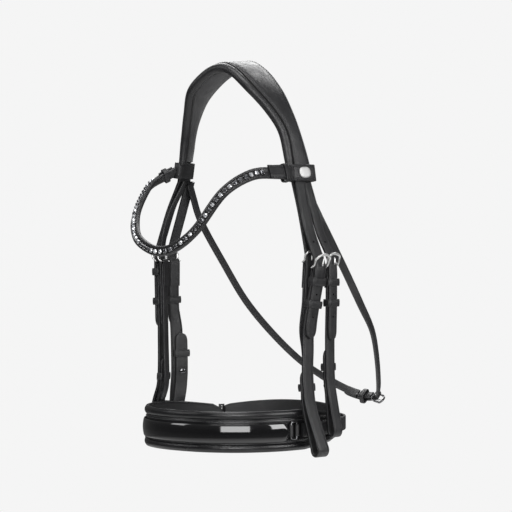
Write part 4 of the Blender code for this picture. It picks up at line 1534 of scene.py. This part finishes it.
def hanger(side):
    """The strap from the headpiece to the noseband, its billet, buckle, keepers and hook stud."""
    label = SIDE_NAMES[side]
    up = OFF_LIFT if side == OFF else 0.0
    hung = hung_strap(
        side, "hanger", HANGER_TOP[side], [HANGER_START[side], *HANGER_ROUTE], HANGER_WIDTH,
        FACING_HANGER[side], HANGER_Z["tip"] + 1.5 * up, HANGER_Z["return"] + 1.5 * up, HANGER_LOOP_OPENING,
        STRAP_THICKNESS, HANGER_BUCKLE_HEIGHT, NOSE, "hanger_tongue_" + label + "_body",
    )
    running = "hanger_running_keeper_" + label
    if side == NEAR:
        strap_keeper("hanger_upper_keeper", hung, NEAR_HANGER_KEEPER_Z, HANGER_WIDTH, NOSE, True)
    strap_keeper(running, hung, HANGER_Z["keeper"], HANGER_WIDTH, running + "_body")
    loop_keeper("hanger_loop_keeper_" + label, hung, HANGER_Z["loop_keeper"] + up, HANGER_WIDTH, NOSE)
    stud("hanger_stud_" + label, hung, HANGER_Z["stud"] + up, 0.8, NOSE, CHANNEL)
    if side == OFF:
        lean("hanger_strap_off_leather", hung, False)
        lean("hanger_loop_keeper_off_leather", hung, True)
        lean("hanger_stud_off_metal", hung, True)


def front_hanger(side):
    """The narrow strap that holds the noseband's front, its billet and buckle."""
    hung_strap(
        side, "front", FRONT_TOP[side], FRONT_ROUTE[side], FRONT_HANGER_WIDTH, FACING_FRONT, FRONT_TIP_Z,
        None, 0.0, FRONT_THICKNESS, FRONT_BUCKLE_HEIGHT, NOSE, NOSE,
    )


# ---------------------------------------------------------------- throatlash


def throat_across(path):
    """The throatlash lies flat against the cheeks and turns under the throat."""
    out = []
    for point, tangent in zip(path, tangents(path)):
        under = min(1.0, abs(tangent.x) * 1.3)
        sideways = Vector((math.copysign(1.0, point.x), 0, 0))
        normal = (sideways * (1 - under) + Vector((0, 0.55, -0.85)) * under).normalized()
        out.append(tangent.cross(normal).normalized() * math.copysign(1.0, point.x))
    return out


def carried_across(path, first):
    """Width directions along the near strand: carried round its turn, and turned towards the front."""
    out = []
    for tangent, far in zip(tangents(path), lengths(path)):
        first = (first - tangent * first.dot(tangent)).normalized()
        turn = math.radians(THROAT_TURN * clamped((far - 22.0) / 40.0) * clamped((210.0 - far) / 60.0))
        out.append((first * math.cos(turn) + tangent.cross(first) * math.sin(turn)).normalized())
    return out


def throat_swell(far, total):
    """The off strand widens towards its buckle and narrows again at the bar."""
    left = total - far
    share = clamped((80.0 - left) / 30.0) * clamped((left - 4.0) / 9.0)
    return 1.0 + (THROAT_SWELL - 1.0) * share, 1.0 + 0.12 * share


def strand(node, line, across_of, width, tip, swell=None):
    """One strand of the throatlash, with its top 10 mm further up under the headpiece."""
    slope = (line[1] - line[0]).normalized()
    path = even_steps(smooth([line[0] - slope * 10.0] + line, 4), 2.0)
    rings = strap_rings(path, across_of(path), width, THROAT_THICKNESS, tip=tip, crown=0.35, swell=swell)
    hang(strap_mesh(node + "_leather", rings), node)


def throatlash():
    """The near strand turns round the buckle's bar and comes back under the off strand's end."""
    near = smooth(THROAT_NEAR, 3)
    off = smooth(THROAT_OFF, 3)
    total = lengths(off)[-1]
    end, along = point_at(off, total)
    below = Vector((0, 0.55, -0.85)).normalized()
    tail_bend = [end + along * 10.0 + below * 0.6, end + along * 6.0 + below * 3.4]
    off_across = throat_across(off)

    def under(distance, wide):
        """(point, direction, downward direction) of the off strand, this far from its end."""
        centre, direction = point_at(off, total - distance)
        outward = direction.cross(wide).normalized()
        return centre, direction, outward * math.copysign(1.0, outward.dot(below))

    tail = []
    for k in range(6):
        centre, _, outward = under(2.0 + k * 7.0, off_across[-3])
        tail.append(centre + outward * (THROAT_THICKNESS + GAP + 1.1))
    loop = near[:-2] + smooth([near[-2], near[-1], *tail_bend], 3)[:-1] + tail_bend[-1:] + tail
    first = throat_across(loop[:3])[0]
    strand("throatlash_near", loop, lambda path: carried_across(path, first), THROAT_WIDTH - 1.0, 8.0)
    strand("throatlash_off", off, throat_across, THROAT_WIDTH, 0.0, throat_swell)
    bar = end + along * 2.6
    at = (off_across[-1], below, -along)
    buckle(
        "throat_buckle", bar, *at, THROAT_WIDTH, THROAT_BUCKLE_HEIGHT, THROAT, radius=SMALL_WIRE_RADIUS,
        surface=CHANNEL,
    )
    tongue(
        "throat_tongue", bar + below * 2.2, *at, THROAT_BUCKLE_HEIGHT, "throat_tongue_body", 1.35,
        SMALL_WIRE_RADIUS,
    )
    wide = off_across[-4]
    centre, direction, outward = under(12.0, wide)
    width = THROAT_WIDTH * THROAT_SWELL + 0.3
    keeper("throat_keeper", centre + outward * 1.9, direction, wide, width, 2.6, THROAT, 6.0)


# ---------------------------------------------------------------- stage, lights, camera


def floor_material():
    """A pale floor that fades out before its edge, so no line shows behind the bridle."""
    nodes = Nodes("pale_floor")
    nodes.colour(nodes.noise(3.0, 2.0), (0.84, 0.84, 0.84), (0.86, 0.86, 0.86))
    nodes.set(Roughness=0.9, Specular_IOR_Level=0.1)
    distance = nodes.add("ShaderNodeVectorMath", operation="LENGTH")
    nodes.link(nodes.coordinates(), distance.inputs[0])
    fade = nodes.spread(distance.outputs["Value"], 1.0, 0.0, FLOOR_RADIUS * 0.55, FLOOR_RADIUS * 0.98)
    nodes.link(fade, nodes.shader.inputs["Alpha"])
    return nodes.material


def stage():
    mesh = bpy.data.meshes.new("floor")
    rim = circle(Vector(), Vector((FLOOR_RADIUS, 0, 0)), Vector((0, FLOOR_RADIUS, 0)), 96)
    mesh.from_pydata(rim, [], [tuple(range(96))])
    mesh.materials.append(floor_material())
    obj = add_object("floor", mesh)
    obj.location = (0, 0.05, FLOOR_Z)


def world():
    """The pale backdrop that the camera sees, and a dimmer room, darkest at eye level, for reflections."""
    made = bpy.data.worlds.new("studio")
    made.use_nodes = True
    tree = made.node_tree
    backdrop = tree.nodes["Background"]
    backdrop.inputs["Color"].default_value = (BACKDROP, BACKDROP, BACKDROP, 1.0)
    room = tree.nodes.new("ShaderNodeBackground")
    room.inputs["Color"].default_value = (1.0, 1.0, 1.0, 1.0)
    direction = tree.nodes.new("ShaderNodeSeparateXYZ")
    tree.links.new(tree.nodes.new("ShaderNodeTexCoord").outputs["Generated"], direction.inputs[0])
    height = tree.nodes.new("ShaderNodeMath")
    height.operation = "ABSOLUTE"
    tree.links.new(direction.outputs["Z"], height.inputs[0])
    strength = tree.nodes.new("ShaderNodeMapRange")
    for socket, value in zip(("From Min", "From Max", "To Min", "To Max"), (0.08, 0.7, *ROOM_LIGHT)):
        strength.inputs[socket].default_value = value
    tree.links.new(height.outputs[0], strength.inputs["Value"])
    tree.links.new(strength.outputs["Result"], room.inputs["Strength"])
    mix = tree.nodes.new("ShaderNodeMixShader")
    rays = tree.nodes.new("ShaderNodeLightPath")
    tree.links.new(rays.outputs["Is Camera Ray"], mix.inputs[0])
    tree.links.new(room.outputs[0], mix.inputs[1])
    tree.links.new(backdrop.outputs[0], mix.inputs[2])
    tree.links.new(mix.outputs[0], tree.nodes["World Output"].inputs["Surface"])
    bpy.context.scene.world = made


def softbox(name, azimuth, elevation, distance, width, height, power):
    """A rectangular light that looks at the bridle. 0 degrees is straight in front, on the side of -Y."""
    data = bpy.data.lights.new(name, "AREA")
    data.shape = "RECTANGLE"
    data.size = width
    data.size_y = height
    data.energy = power
    a = math.radians(azimuth)
    e = math.radians(elevation)
    away = Vector((math.sin(a) * math.cos(e), -math.cos(a) * math.cos(e), math.sin(e)))
    obj = add_object(name, data)
    obj.location = VIEW_TARGET + away * distance
    obj.rotation_euler = away.to_track_quat("Z", "Y").to_euler()
    obj.visible_camera = False


def camera():
    """The photograph's view, level with the bridle."""
    data = bpy.data.cameras.new("camera")
    data.lens = VIEW_LENS
    data.sensor_width = SENSOR
    data.clip_end = 100.0
    obj = add_object("camera", data)
    away = Vector((math.sin(VIEW_AZIMUTH), -math.cos(VIEW_AZIMUTH), 0))
    obj.location = VIEW_TARGET + away * VIEW_DISTANCE
    obj.rotation_euler = (math.pi / 2, 0, VIEW_AZIMUTH)
    bpy.context.scene.camera = obj


def plain(box):
    return [[float(value) for value in corner] for corner in box]


camera()
world()
stage()
for light in LIGHTS:
    softbox(*light)
headpiece()
headpiece_roll()
poll_pad()
browband()
noseband()
chin_strap()
for each_side in (NEAR, OFF):
    cheekpiece(each_side)
    hanger(each_side)
    front_hanger(each_side)
    noseband_ring(each_side)
throatlash()
puff_pads()
bpy.context.scene.view_settings.view_transform = "Standard"
